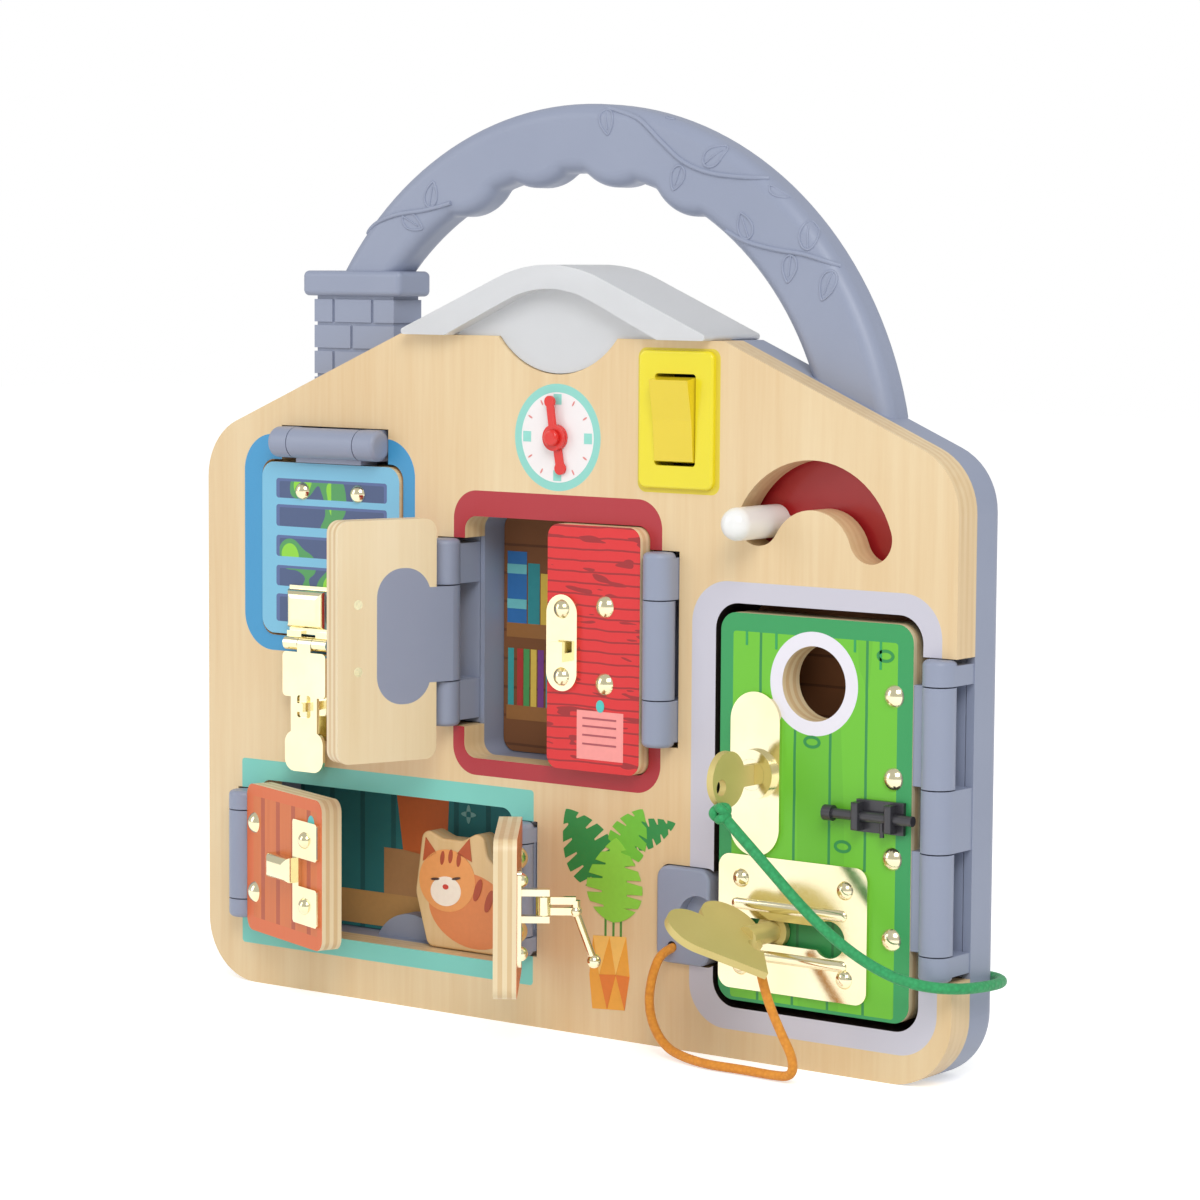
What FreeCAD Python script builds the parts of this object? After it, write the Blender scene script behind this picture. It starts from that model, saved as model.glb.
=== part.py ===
"""House-shaped wooden busy board with a grey moulded housing and carrying handle.

All sizes are in millimetres. X runs to the right of the board, Z up, and the
front of the board faces -Y. The origin is in the middle of the flat base.
"""
import os
import FreeCAD
import Part
import math

# Board and housing
board_width = 285.0
eave_height = 178.2
roof_rise = 60.8
ridge_radius = 50.0
corner_radius = 20.0
ply_thickness = 10.0
housing_depth = 15.0
housing_wall = 2.6
housing_edge_radius = 5.0
part_gap = 0.3

# Carrying handle and chimney
handle_centre_z = eave_height - 9.2
handle_outer_radius = 114.4
handle_band_width = 21.0
handle_inner_radius = handle_outer_radius - handle_band_width
handle_inner_shift = -3.5
handle_depth = 13.6
handle_edge_radius = 4.5
grip_lobe_pitch = 27.0
grip_lobe_height = 3.3
grip_lobes = 4
grip_lobe_radius = 17.0
grip_cusp_radius = 3.2
chimney_left = -106.0
chimney_width = 33.0
chimney_top = eave_height + 45.8
chimney_cap_height = 8.0
chimney_cap_overhang = 3.8
brick_height = 7.2
brick_length = 15.0
mortar_width = 1.1
mortar_depth = 0.7

# Roof lamp
lamp_half_width = 61.5
lamp_front_overhang = 4.5
lamp_arch_height = 9.0
lamp_wall = 2.0
lens_radius = 28.3
lens_drop = 11.0
lens_thickness = 5.0

# Doors
door_thickness = 7.0
door_proud = 4.5
door_corner_radius = 4.0
door_gap = 0.4
rivet_head_radius = 3.4
rivet_shank_radius = 1.5
rivet_head_height = 1.9
leaf_rivet_length = door_thickness - 1.0

# Moulded hinges
hinge_radius = 4.9
hinge_centre_proud = 3.0
hinge_pin_radius = 1.5
pin_clearance = 0.05
knuckle_gap = 0.4
hinge_plate_thickness = 2.4
hinge_pin_inset = 1.0
knuckle_rounding = 1.6
hinge_pad_radius = 9.0

# Window
window_half_width = 35.4
window_bottom = 81.7
window_top = 157.0
window_corner_radius = 4.4
window_hinge_x = 41.0
window_hinge_bottom = 91.5
window_hinge_top = 149.8
window_hinge_end = 14.0
window_left_open = 111.0

# Kennel
kennel_left = -119.9
kennel_right = -16.3
kennel_bottom = 18.6
kennel_top = 67.2
kennel_hinge_out = 4.6
kennel_hinge_bottom = 22.2
kennel_hinge_top = 63.7
kennel_hinge_end = 6.0
kennel_left_open = 21.0
kennel_right_open = 126.0

# Front door
entry_left = 59.6
entry_right = 131.4
entry_bottom = 15.4
entry_top = 136.0
entry_corner_radius = 8.0
entry_gap = 2.6
entry_hinge_x = 137.3
entry_hinge_bottom = 31.8
entry_hinge_top = 124.2
entry_hinge_end = 7.4
entry_hinge_middle = 17.9
entry_hinge_centre_proud = 0.6
entry_door_thickness = 9.0
entry_door_proud = 1.0
porthole_x = 95.0
porthole_z = 114.2
porthole_radius = 11.0

# Shutter
shutter_left = -118.2
shutter_right = -61.0
shutter_bottom = 115.6
shutter_top = 170.8
shutter_thickness = 6.0
shutter_radius = 5.0
shutter_hinge_z = 177.4
shutter_hinge_left = -110.4
shutter_hinge_right = -66.6
shutter_hinge_end = 8.0

# Brass work
plate_thickness = 1.2
hasp_x = -96.5
hasp_width = 18.0
lock_x = 75.4
lock_z = 86.3
lock_barrel_radius = 4.6
key_thickness = 2.2
key_head_length = 21.0
key_head_height = 16.5
slide_plate_left = 63.0
slide_plate_right = 115.0
slide_plate_bottom = 21.9
slide_plate_top = 62.0
slide_slot_left = 73.0
slide_slot_right = 103.0
slide_slot_height = 7.0
slide_slot_z = 40.0
slider_x = 81.0

# Clock, switch and weather dial
clock_x = 0.4
clock_z = eave_height + 4.2
clock_pin_radius = 1.2
switch_x = 45.2
switch_z = eave_height + 11.0
switch_plate_width = 27.0
switch_plate_height = 41.0
rocker_width = 14.0
rocker_height = 26.5
dial_x = 93.0
dial_z = 150.5
dial_slot_outer = 28.5
dial_slot_inner = 14.0
dial_slot_start = 18.0
dial_slot_end = 152.0
dial_cup_radius = 32.0
peg_radius = 4.9
peg_length = 15.0

# Lamp electrics
cell_diameter = 10.5
cell_length = 44.5
cell_pitch = 12.5
battery_x = -88.5
battery_z = 143.0

# Cords
cord_thickness = 2.8
key_cord_thickness = 3.2

y_front = -(ply_thickness + housing_depth) / 2
y_joint = y_front + ply_thickness
y_back = y_front + ply_thickness + housing_depth
half_width = board_width / 2
roof_slope = roof_rise / half_width
X_AXIS = FreeCAD.Vector(1, 0, 0)
Y_AXIS = FreeCAD.Vector(0, 1, 0)
Z_AXIS = FreeCAD.Vector(0, 0, 1)


def point(x, y, z):
    return FreeCAD.Vector(x, y, z)


def depth(d):
    """Y of a plane d behind the board's front face; a negative d stands proud."""
    return y_front + d


def roof_height(x):
    return eave_height + roof_slope * (half_width - abs(x))


def box(x0, x1, y0, y1, z0, z1):
    return Part.makeBox(x1 - x0, y1 - y0, z1 - z0, point(x0, y0, z0))


def rod(start, direction, radius, length):
    return Part.makeCylinder(radius, length, start, direction)


def outline(corners):
    """Closed wire in the XZ plane through corners (x, z, radius), each rounded by an arc."""
    count = len(corners)
    edges = []
    spans = []
    for i in range(count):
        x, z, radius = corners[i]
        before = corners[i - 1]
        after = corners[(i + 1) % count]
        here = point(x, 0, z)
        back = (point(before[0], 0, before[1]) - here).normalize()
        ahead = (point(after[0], 0, after[1]) - here).normalize()
        if radius <= 0:
            spans.append((here, None, here))
            continue
        half = back.getAngle(ahead) / 2
        reach = radius / math.tan(half)
        middle_line = (back + ahead).normalize()
        centre = here + middle_line * (radius / math.sin(half))
        middle = centre - middle_line * radius
        spans.append((here + back * reach, middle, here + ahead * reach))
    for i in range(count):
        start, middle, end = spans[i]
        if middle is not None:
            edges.append(Part.Arc(start, middle, end).toShape())
        following = spans[(i + 1) % count][0]
        if (following - end).Length > 1e-6:
            edges.append(Part.LineSegment(end, following).toShape())
    return Part.Wire(edges)


def slab(corners, y0, y1):
    """Flat plate of a rounded outline between two Y planes."""
    face = Part.Face(outline(corners))
    face.translate(point(0, y0, 0))
    return face.extrude(point(0, y1 - y0, 0))


def rectangle(x0, x1, z0, z1, radius):
    return [(x0, z0, radius), (x1, z0, radius), (x1, z1, radius), (x0, z1, radius)]


def edges_on_plane(shape, y):
    return [e for e in shape.Edges if all(abs(v.Point.y - y) < 1e-4 for v in e.Vertexes)]


def soften(shape, y, radius):
    """Round every edge that lies in the plane at y."""
    return shape.makeFillet(radius, edges_on_plane(shape, y))


def rivet(x, z, face_y, length, head_radius=rivet_head_radius):
    """Domed brass rivet whose head sits on face_y and whose shank runs back into the board."""
    ball = (head_radius ** 2 + rivet_head_height ** 2) / (2 * rivet_head_height)
    dome = Part.makeSphere(ball, point(x, face_y + ball - rivet_head_height, z))
    head = dome.common(rod(point(x, face_y, z), -Y_AXIS, head_radius, rivet_head_height))
    return head.fuse(rod(point(x, face_y, z), Y_AXIS, rivet_shank_radius, length)).removeSplitter()


def rivet_hole(x, z, face_y, length):
    return rod(point(x, face_y, z), Y_AXIS, rivet_shank_radius, length)


def turned(shape, centre, axis, angle):
    copy = shape.copy()
    copy.rotate(centre, axis, angle)
    return copy


def joined(shapes):
    result = shapes[0]
    for shape in shapes[1:]:
        result = result.fuse(shape)
    return result.removeSplitter()


parts = {}
house = [(-half_width, 0, corner_radius), (half_width, 0, corner_radius),
         (half_width, eave_height, corner_radius), (0, eave_height + roof_rise, ridge_radius),
         (-half_width, eave_height, corner_radius)]

# Plywood board with its openings
panel = slab(house, y_front, y_joint)
window_hole = slab(rectangle(-window_half_width, window_half_width, window_bottom, window_top,
                             window_corner_radius), y_front - 1, y_joint + 1)
kennel_hole = slab(rectangle(kennel_left, kennel_right, kennel_bottom, kennel_top,
                             door_corner_radius), y_front - 1, y_joint + 1)
entry_hole = slab(rectangle(entry_left, entry_right, entry_bottom, entry_top,
                            entry_corner_radius), y_front - 1, y_joint + 1)
notch_reach = hinge_radius + part_gap
notches = []


def side_notch(edge_x, axis_x, z0, z1):
    far = axis_x + math.copysign(notch_reach, axis_x - edge_x)
    low, high = sorted((edge_x - math.copysign(2, axis_x - edge_x), far))
    return box(low, high, y_front - 1, y_joint + 1, z0 - part_gap, z1 + part_gap)


notches.append(side_notch(-window_half_width, -window_hinge_x, window_hinge_bottom, window_hinge_top))
notches.append(side_notch(window_half_width, window_hinge_x, window_hinge_bottom, window_hinge_top))
kennel_axis_left = kennel_left - kennel_hinge_out
kennel_axis_right = kennel_right + kennel_hinge_out
notches.append(side_notch(kennel_left, kennel_axis_left, kennel_hinge_bottom, kennel_hinge_top))
notches.append(side_notch(kennel_right, kennel_axis_right, kennel_hinge_bottom, kennel_hinge_top))
notches.append(box(entry_right - 2, half_width + 1, y_front - 1, y_joint + 1,
                   entry_hinge_bottom - part_gap, entry_hinge_top + part_gap))
notches.append(box(shutter_hinge_left - part_gap, shutter_hinge_right + part_gap, y_front - 1,
                   y_joint + 1, shutter_top, shutter_hinge_z + notch_reach))
lamp_seat_z = roof_height(lamp_half_width)
lens_centre_z = lamp_seat_z - lens_drop + lens_radius
lens_notch = rod(point(0, y_front - 1, lens_centre_z), Y_AXIS, lens_radius + part_gap,
                 ply_thickness + 2)
lamp_cut = box(-half_width, half_width, y_front - 1, y_back + 1, lamp_seat_z,
               eave_height + roof_rise + 5)
dial_start = math.radians(dial_slot_start)
dial_end = math.radians(dial_slot_end)
dial_mean = (dial_slot_outer + dial_slot_inner) / 2
slot_radius = (dial_slot_outer - dial_slot_inner) / 2


def on_dial(radius, angle, y):
    return point(dial_x + radius * math.cos(angle), y, dial_z + radius * math.sin(angle))


def arc_slot(y0, y1):
    """Banana-shaped slot between two radii about the dial's axle, with round ends."""
    middle = (dial_start + dial_end) / 2
    outer = Part.Arc(on_dial(dial_slot_outer, dial_start, y0), on_dial(dial_slot_outer, middle, y0),
                     on_dial(dial_slot_outer, dial_end, y0)).toShape()
    inner = Part.Arc(on_dial(dial_slot_inner, dial_end, y0), on_dial(dial_slot_inner, middle, y0),
                     on_dial(dial_slot_inner, dial_start, y0)).toShape()
    ends = []
    for angle, side in ((dial_end, 1), (dial_start, -1)):
        tip = on_dial(dial_mean, angle, y0)
        tip += point(-math.sin(angle), 0, math.cos(angle)) * (slot_radius * side)
        first = dial_slot_outer if side > 0 else dial_slot_inner
        last = dial_slot_inner if side > 0 else dial_slot_outer
        ends.append(Part.Arc(on_dial(first, angle, y0), tip, on_dial(last, angle, y0)).toShape())
    wire = Part.Wire([outer, ends[0], inner, ends[1]])
    return Part.Face(wire).extrude(point(0, y1 - y0, 0))


switch_hole_inset = 3.0
switch_hole = slab(rectangle(switch_x - switch_plate_width / 2 + switch_hole_inset,
                             switch_x + switch_plate_width / 2 - switch_hole_inset,
                             switch_z - switch_plate_height / 2 + switch_hole_inset,
                             switch_z + switch_plate_height / 2 - switch_hole_inset, 2.0),
                   y_front - 1, y_joint + 1)
shutter_middle = (shutter_left + shutter_right) / 2
clock_pin_hole = rod(point(clock_x, y_front - 1, clock_z), Y_AXIS, clock_pin_radius,
                     ply_thickness + 2)
dial_axle_radius = 2.0
dial_axle_hole_depth = 3.0
dial_axle_hole = rod(point(dial_x, y_joint - dial_axle_hole_depth, dial_z), Y_AXIS,
                     dial_axle_radius + pin_clearance, dial_axle_hole_depth + 1)

# Housing shell, round at the back and open at the front


def house_inset(inset):
    """House outline moved inwards by a wall's thickness on every side."""
    lean = inset * math.hypot(1, roof_slope)
    side = half_width - inset
    radius = corner_radius - inset
    eave = eave_height + roof_slope * inset - lean
    return [(-side, inset, radius), (side, inset, radius), (side, eave, radius),
            (0, eave_height + roof_rise - lean, ridge_radius - inset), (-side, eave, radius)]


housing = soften(slab(house, y_joint, y_back), y_back, housing_edge_radius)
housing = housing.cut(slab(house_inset(housing_wall), y_joint - 1, y_back - housing_wall))
shelf = slab(house_inset(housing_wall), y_joint, y_back - housing_wall)
shelf = shelf.common(box(-half_width, half_width, y_joint, y_back,
                         lamp_seat_z - housing_wall, lamp_seat_z))
housing = housing.cut(lamp_cut).fuse(shelf).removeSplitter()
lens_pocket = rod(point(0, y_joint - 1, lens_centre_z), Y_AXIS, lens_radius + part_gap, 3.0)
housing = housing.cut(lens_pocket)

# Trays that line the openings behind the board
tray_wall = 1.6
tray_depth = housing_depth - housing_wall - part_gap


def tray(x0, x1, z0, z1, radius):
    outer = slab(rectangle(x0 - tray_wall, x1 + tray_wall, z0 - tray_wall, z1 + tray_wall,
                           radius + tray_wall), y_joint, y_joint + tray_depth)
    inner = slab(rectangle(x0, x1, z0, z1, radius), y_joint - 1, y_joint + tray_depth - tray_wall)
    return outer.cut(inner)


def backdrop(x0, x1, z0, z1, radius):
    """Printed card laid on the floor of a tray."""
    floor_y = y_joint + tray_depth - tray_wall
    return slab(rectangle(x0 + part_gap, x1 - part_gap, z0 + part_gap, z1 - part_gap, radius),
                floor_y - card_thickness, floor_y)


card_thickness = 1.0
window_place = (-window_half_width, window_half_width, window_bottom, window_top,
                window_corner_radius)
kennel_place = (kennel_left, kennel_right, kennel_bottom, kennel_top, door_corner_radius)
entry_place = (entry_left, entry_right, entry_bottom, entry_top, entry_corner_radius)
cushion_radius = 15.0
cushion_x = -68.0
cushion_rise = 8.0
pet_thickness = 7.0
pet_front_y = depth(6.0)
tray_floor_y = y_joint + tray_depth - tray_wall
cushion_front_y = pet_front_y + pet_thickness + part_gap
cushion = rod(point(cushion_x, cushion_front_y, kennel_bottom - cushion_radius + cushion_rise),
              Y_AXIS, cushion_radius, tray_floor_y - card_thickness - part_gap - cushion_front_y)
cushion = cushion.common(box(kennel_left, kennel_right, y_front, y_back, kennel_bottom - 0.5,
                             kennel_top))
kennel_tray = tray(*kennel_place).fuse(cushion).removeSplitter()
parts["recess_trays"] = Part.makeCompound([tray(*window_place), kennel_tray, tray(*entry_place)])
parts["backdrop_cards"] = Part.makeCompound([backdrop(*window_place), backdrop(*kennel_place),
                                             backdrop(*entry_place)])

# Hinges: a fixed mount with end knuckles, a pin through them, and a leaf on the door


def end_knuckle(start, axis, length, round_start, round_end):
    """Knuckle barrel whose outer end is rounded over."""
    barrel = rod(start, axis, hinge_radius, length)
    rims = []
    for edge in barrel.Edges:
        along = (edge.CenterOfMass - start).dot(axis)
        if (round_start and along < 0.01) or (round_end and along > length - 0.01):
            rims.append(edge)
    return barrel.makeFillet(knuckle_rounding, rims) if rims else barrel


def hinge_mount(edge_x, axis_x, axis_y, z_knuckles, z0, z1, far_reach):
    """Fixed knuckles on a plate behind the board, reaching forward through its notch."""
    outward = math.copysign(1, axis_x - edge_x)
    near = edge_x + outward * (tray_wall + part_gap)
    far = axis_x + outward * hinge_radius
    low, high = sorted((near, far))
    solids = []
    for start, end in z_knuckles:
        solids.append(end_knuckle(point(axis_x, axis_y, start), Z_AXIS, end - start,
                                  start == z0, end == z1))
        solids.append(box(low, high, axis_y, y_joint, max(start, z0 + knuckle_rounding),
                          min(end, z1 - knuckle_rounding)))
    plate_low, plate_high = sorted((near, axis_x + outward * far_reach))
    solids.append(box(plate_low, plate_high, y_joint, y_joint + tray_wall, z0, z1))
    mount = joined(solids)
    return mount.cut(rod(point(axis_x, axis_y, z0 + hinge_pin_inset), Z_AXIS, hinge_pin_radius,
                         z1 - z0 - 2 * hinge_pin_inset))


def hinge_leaf(edge_x, axis_x, axis_y, spans, back_y, reach, height, plate_z):
    """Door knuckles with an arm each and a round-ended plate let into the door's back."""
    inward = math.copysign(1, edge_x - axis_x)
    solids = []
    for start, end in spans:
        solids.append(rod(point(axis_x, axis_y, start), Z_AXIS, hinge_radius, end - start))
        low, high = sorted((axis_x, edge_x + inward * 6.0))
        solids.append(box(low, high, back_y - hinge_plate_thickness, back_y, start, end))
    far_x = edge_x + inward * reach
    low, high = sorted((edge_x + inward * 2.0, far_x))
    solids.append(slab(rectangle(low, high, plate_z - height / 2, plate_z + height / 2,
                                 hinge_pad_radius),
                       back_y - hinge_plate_thickness, back_y))
    arm_low, arm_high = sorted((axis_x, edge_x))
    bridge = box(arm_low, arm_high, axis_y, back_y, spans[0][0], spans[0][1])
    for start, end in spans[1:]:
        bridge = bridge.fuse(box(arm_low, arm_high, axis_y, back_y, start, end))
    solids.append(bridge)
    leaf = joined(solids)
    top = max(end for start, end in spans)
    bottom = min(start for start, end in spans)
    bore = rod(point(axis_x, axis_y, bottom - 1), Z_AXIS, hinge_pin_radius + pin_clearance,
               top - bottom + 2)
    return leaf.cut(bore)


def door_blank(x0, x1, z0, z1, radius, front_y, thickness):
    return slab(rectangle(x0, x1, z0, z1, radius), front_y, front_y + thickness)


axis_y = depth(-hinge_centre_proud)
door_front_y = depth(-door_proud)
door_back_y = door_front_y + door_thickness
meeting_gap = 0.35
window_spans = [(window_hinge_bottom, window_hinge_bottom + window_hinge_end),
                (window_hinge_top - window_hinge_end, window_hinge_top)]
window_moving = [(window_hinge_bottom + window_hinge_end + knuckle_gap,
                  window_hinge_top - window_hinge_end - knuckle_gap)]
kennel_spans = [(kennel_hinge_bottom, kennel_hinge_bottom + kennel_hinge_end),
                (kennel_hinge_top - kennel_hinge_end, kennel_hinge_top)]
kennel_moving = [(kennel_hinge_bottom + kennel_hinge_end + knuckle_gap,
                  kennel_hinge_top - kennel_hinge_end - knuckle_gap)]
mount_reach = hinge_radius + 5.0
pins = []
mounts = []


def pair_of_mounts(edges, axes, spans, z0, z1):
    for edge_x, axis_x in zip(edges, axes):
        mounts.append(hinge_mount(edge_x, axis_x, axis_y, spans, z0, z1, mount_reach))
        pins.append(rod(point(axis_x, axis_y, z0 + hinge_pin_inset), Z_AXIS, hinge_pin_radius,
                        z1 - z0 - 2 * hinge_pin_inset))


pair_of_mounts((-window_half_width, window_half_width),
               (-window_hinge_x, window_hinge_x), window_spans, window_hinge_bottom,
               window_hinge_top)
pair_of_mounts((kennel_left, kennel_right), (kennel_axis_left, kennel_axis_right),
               kennel_spans, kennel_hinge_bottom, kennel_hinge_top)

window_z = (window_hinge_bottom + window_hinge_top) / 2
kennel_z = (kennel_hinge_bottom + kennel_hinge_top) / 2
leaf_reach = 21.0
leaf_height_window = 42.0
leaf_height_kennel = 30.0
door_rivet_inset = 13.5


def riveted_door(x0, x1, z0, z1, edge_x, leaf, rivet_points):
    """Door panel with its leaf let in, and the rivets that hold the leaf."""
    door = door_blank(x0, x1, z0, z1, door_corner_radius, door_front_y, door_thickness)
    door = door.cut(leaf)
    heads = []
    for x, z in rivet_points:
        door = door.cut(rivet_hole(x, z, door_front_y, leaf_rivet_length))
        leaf = leaf.cut(rivet_hole(x, z, door_front_y, leaf_rivet_length))
        heads.append(rivet(x, z, door_front_y, leaf_rivet_length))
    return door, leaf, heads


window_low = window_bottom + door_gap
window_high = window_top - door_gap
kennel_low = kennel_bottom + door_gap
kennel_high = kennel_top - door_gap
kennel_middle = (kennel_left + kennel_right) / 2
rivet_rise_window = 11.7
rivet_rise_kennel = 11.3

closed = {}
for side, sign in (("left", -1), ("right", 1)):
    edge = sign * (window_half_width - door_gap)
    leaf = hinge_leaf(edge, sign * window_hinge_x, axis_y, window_moving, door_back_y, leaf_reach,
                      leaf_height_window, window_z)
    rivet_x = sign * (window_half_width - door_rivet_inset)
    spots = [(rivet_x, window_z - rivet_rise_window), (rivet_x, window_z + rivet_rise_window)]
    low, high = sorted((edge, sign * meeting_gap))
    door, leaf, heads = riveted_door(low, high, window_low, window_high, edge, leaf, spots)
    closed[f"window_{side}_door"] = door
    closed[f"window_{side}_hinge_leaf"] = leaf
    closed[f"window_{side}_rivets"] = heads
for side, sign, opening_edge, axis_x in (("left", -1, kennel_left, kennel_axis_left),
                                         ("right", 1, kennel_right, kennel_axis_right)):
    edge = opening_edge - sign * door_gap
    leaf = hinge_leaf(edge, axis_x, axis_y, kennel_moving, door_back_y, leaf_reach,
                      leaf_height_kennel, kennel_z)
    rivet_x = opening_edge - sign * 5.5
    spots = [(rivet_x, kennel_z - rivet_rise_kennel), (rivet_x, kennel_z + rivet_rise_kennel)]
    low, high = sorted((edge, kennel_middle + sign * meeting_gap))
    door, leaf, heads = riveted_door(low, high, kennel_low, kennel_high, edge, leaf, spots)
    closed[f"kennel_{side}_door"] = door
    closed[f"kennel_{side}_hinge_leaf"] = leaf
    closed[f"kennel_{side}_rivets"] = heads

# Entry door on the right, with a porthole, a lock, a slide latch and a small bolt
entry_axis_y = depth(-entry_hinge_centre_proud)
entry_front_y = depth(-entry_door_proud)
entry_back_y = entry_front_y + entry_door_thickness
low_knuckle = entry_hinge_bottom + entry_hinge_end
high_knuckle = entry_hinge_top - entry_hinge_end
middle_low = (low_knuckle + high_knuckle - entry_hinge_middle) / 2
middle_high = middle_low + entry_hinge_middle
entry_fixed = [(entry_hinge_bottom, low_knuckle), (middle_low, middle_high),
               (high_knuckle, entry_hinge_top)]
entry_moving = [(low_knuckle + knuckle_gap, middle_low - knuckle_gap),
                (middle_high + knuckle_gap, high_knuckle - knuckle_gap)]
entry_mount_reach = half_width - housing_wall - part_gap - entry_hinge_x
mounts.append(hinge_mount(entry_right, entry_hinge_x, entry_axis_y, entry_fixed,
                          entry_hinge_bottom, entry_hinge_top, entry_mount_reach))
pins.append(rod(point(entry_hinge_x, entry_axis_y, entry_hinge_bottom + 1), Z_AXIS,
                hinge_pin_radius, entry_hinge_top - entry_hinge_bottom - 2))
entry_edge = entry_right - entry_gap
entry_leaf_height = 74.0
entry_leaf = hinge_leaf(entry_edge, entry_hinge_x, entry_axis_y, entry_moving, entry_back_y, 20.0,
                        entry_leaf_height, (middle_low + middle_high) / 2)
entry_rivet_x = 122.4
entry_rivet_z = [42.1, 65.6, 88.7, 112.6]
entry_free = entry_left + entry_gap
entry_door = door_blank(entry_free, entry_edge, entry_bottom + entry_gap, entry_top - entry_gap,
                        entry_corner_radius - entry_gap, entry_front_y, entry_door_thickness)
entry_door = entry_door.cut(entry_leaf)
entry_rivets = []
for z in entry_rivet_z:
    hole = rivet_hole(entry_rivet_x, z, entry_front_y, entry_door_thickness)
    entry_door = entry_door.cut(hole)
    entry_leaf = entry_leaf.cut(hole)
    entry_rivets.append(rivet(entry_rivet_x, z, entry_front_y, entry_door_thickness))
porthole = rod(point(porthole_x, entry_front_y - 5, porthole_z), Y_AXIS, porthole_radius,
               entry_door_thickness + 10)
entry_door = entry_door.cut(porthole)

# Lock on the entry door
escutcheon_width = 17.4
escutcheon_height = 48.6
rosette_radius = 7.4
rosette_height = 2.0
key_slot_height = 6.0
key_clearance = 0.06
cam_length = 10.0
cam_width = 7.0
key_reach_inside = 6.0
plate_front_y = entry_front_y - plate_thickness
lock_plate = slab(rectangle(lock_x - escutcheon_width / 2, lock_x + escutcheon_width / 2,
                            lock_z - escutcheon_height / 2, lock_z + escutcheon_height / 2,
                            escutcheon_width / 2 - 0.01), plate_front_y, entry_front_y)
rosette = rod(point(lock_x, plate_front_y - rosette_height, lock_z), Y_AXIS, rosette_radius,
              rosette_height)
lock_bore = rod(point(lock_x, plate_front_y - rosette_height - 1, lock_z), Y_AXIS,
                lock_barrel_radius + pin_clearance, entry_door_thickness + 12)
parts["lock_plate"] = lock_plate.fuse(rosette).cut(lock_bore).removeSplitter()
entry_door = entry_door.cut(lock_bore)
barrel_front_y = plate_front_y - rosette_height
barrel_back_y = entry_back_y + part_gap
lock_barrel = rod(point(lock_x, barrel_front_y, lock_z), Y_AXIS, lock_barrel_radius,
                  barrel_back_y - barrel_front_y)
cam = box(lock_x - cam_width / 2, lock_x + cam_width / 2, barrel_back_y, barrel_back_y + 1.6,
          lock_z - cam_width / 2, lock_z + cam_length)
key_slot = box(lock_x - key_thickness / 2 - key_clearance, lock_x + key_thickness / 2 + key_clearance,
               barrel_front_y - 1, barrel_front_y + key_reach_inside + part_gap,
               lock_z - key_slot_height / 2 - key_clearance,
               lock_z + key_slot_height / 2 + key_clearance)
parts["lock_cylinder"] = lock_barrel.fuse(cam).cut(key_slot).removeSplitter()
head_radius = key_head_height / 2
head_y = barrel_front_y - key_head_length + head_radius
key_blade = box(lock_x - key_thickness / 2, lock_x + key_thickness / 2, head_y,
                barrel_front_y + key_reach_inside, lock_z - key_slot_height / 2,
                lock_z + key_slot_height / 2)
key_head = rod(point(lock_x - key_thickness / 2, head_y, lock_z), X_AXIS, head_radius,
               key_thickness)
key_hole_radius = 2.4
key_hole_y = head_y - head_radius + key_hole_radius + 2.0
key_hole_z = lock_z - 2.0
key_hole = rod(point(lock_x - key_thickness, key_hole_y, key_hole_z), X_AXIS, key_hole_radius,
               key_thickness * 2)
parts["key"] = key_blade.fuse(key_head).cut(key_hole).removeSplitter()

# Slide latch with a heart-shaped handle
slide_channel_depth = 2.6
slide_button_radius = 5.2
slide_stem_radius = 3.4
keyhole_x = slide_slot_right - 1.0
slide_corner = 4.0
slide_plate = slab(rectangle(slide_plate_left, slide_plate_right, slide_plate_bottom,
                             slide_plate_top, slide_corner), plate_front_y, entry_front_y)
slot = slab(rectangle(slide_slot_left, slide_slot_right, slide_slot_z - slide_slot_height / 2,
                      slide_slot_z + slide_slot_height / 2, 2.0),
            plate_front_y - 1, entry_front_y + 1)
keyhole = rod(point(keyhole_x, plate_front_y - 1, slide_slot_z), Y_AXIS,
              slide_button_radius + part_gap, plate_thickness + 2)
slide_plate = slide_plate.cut(slot).cut(keyhole)
channel_reach = slide_button_radius + part_gap
channel = slab(rectangle(slide_slot_left - 2.0, keyhole_x + channel_reach + 1,
                         slide_slot_z - channel_reach, slide_slot_z + channel_reach, 3.0),
               entry_front_y, entry_front_y + slide_channel_depth)
entry_door = entry_door.cut(channel)
slide_rivet_spots = [(slide_plate_left + 8.0, slide_plate_bottom + 7.0),
                     (slide_plate_left + 8.0, slide_plate_top - 7.0),
                     (slide_plate_right - 7.6, slide_plate_bottom + 7.0),
                     (slide_plate_right - 7.6, slide_plate_top - 7.0)]
slide_rivets = []
for x, z in slide_rivet_spots:
    hole = rivet_hole(x, z, plate_front_y, 6.0)
    entry_door = entry_door.cut(hole)
    slide_plate = slide_plate.cut(hole)
    slide_rivets.append(rivet(x, z, plate_front_y, 6.0, 2.8))
parts["slide_plate"] = slide_plate
heart_width = 36.0
heart_height = 32.0
heart_thickness = 2.2
heart_tilt = 32.0
heart_stand_off = 3.0


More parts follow.
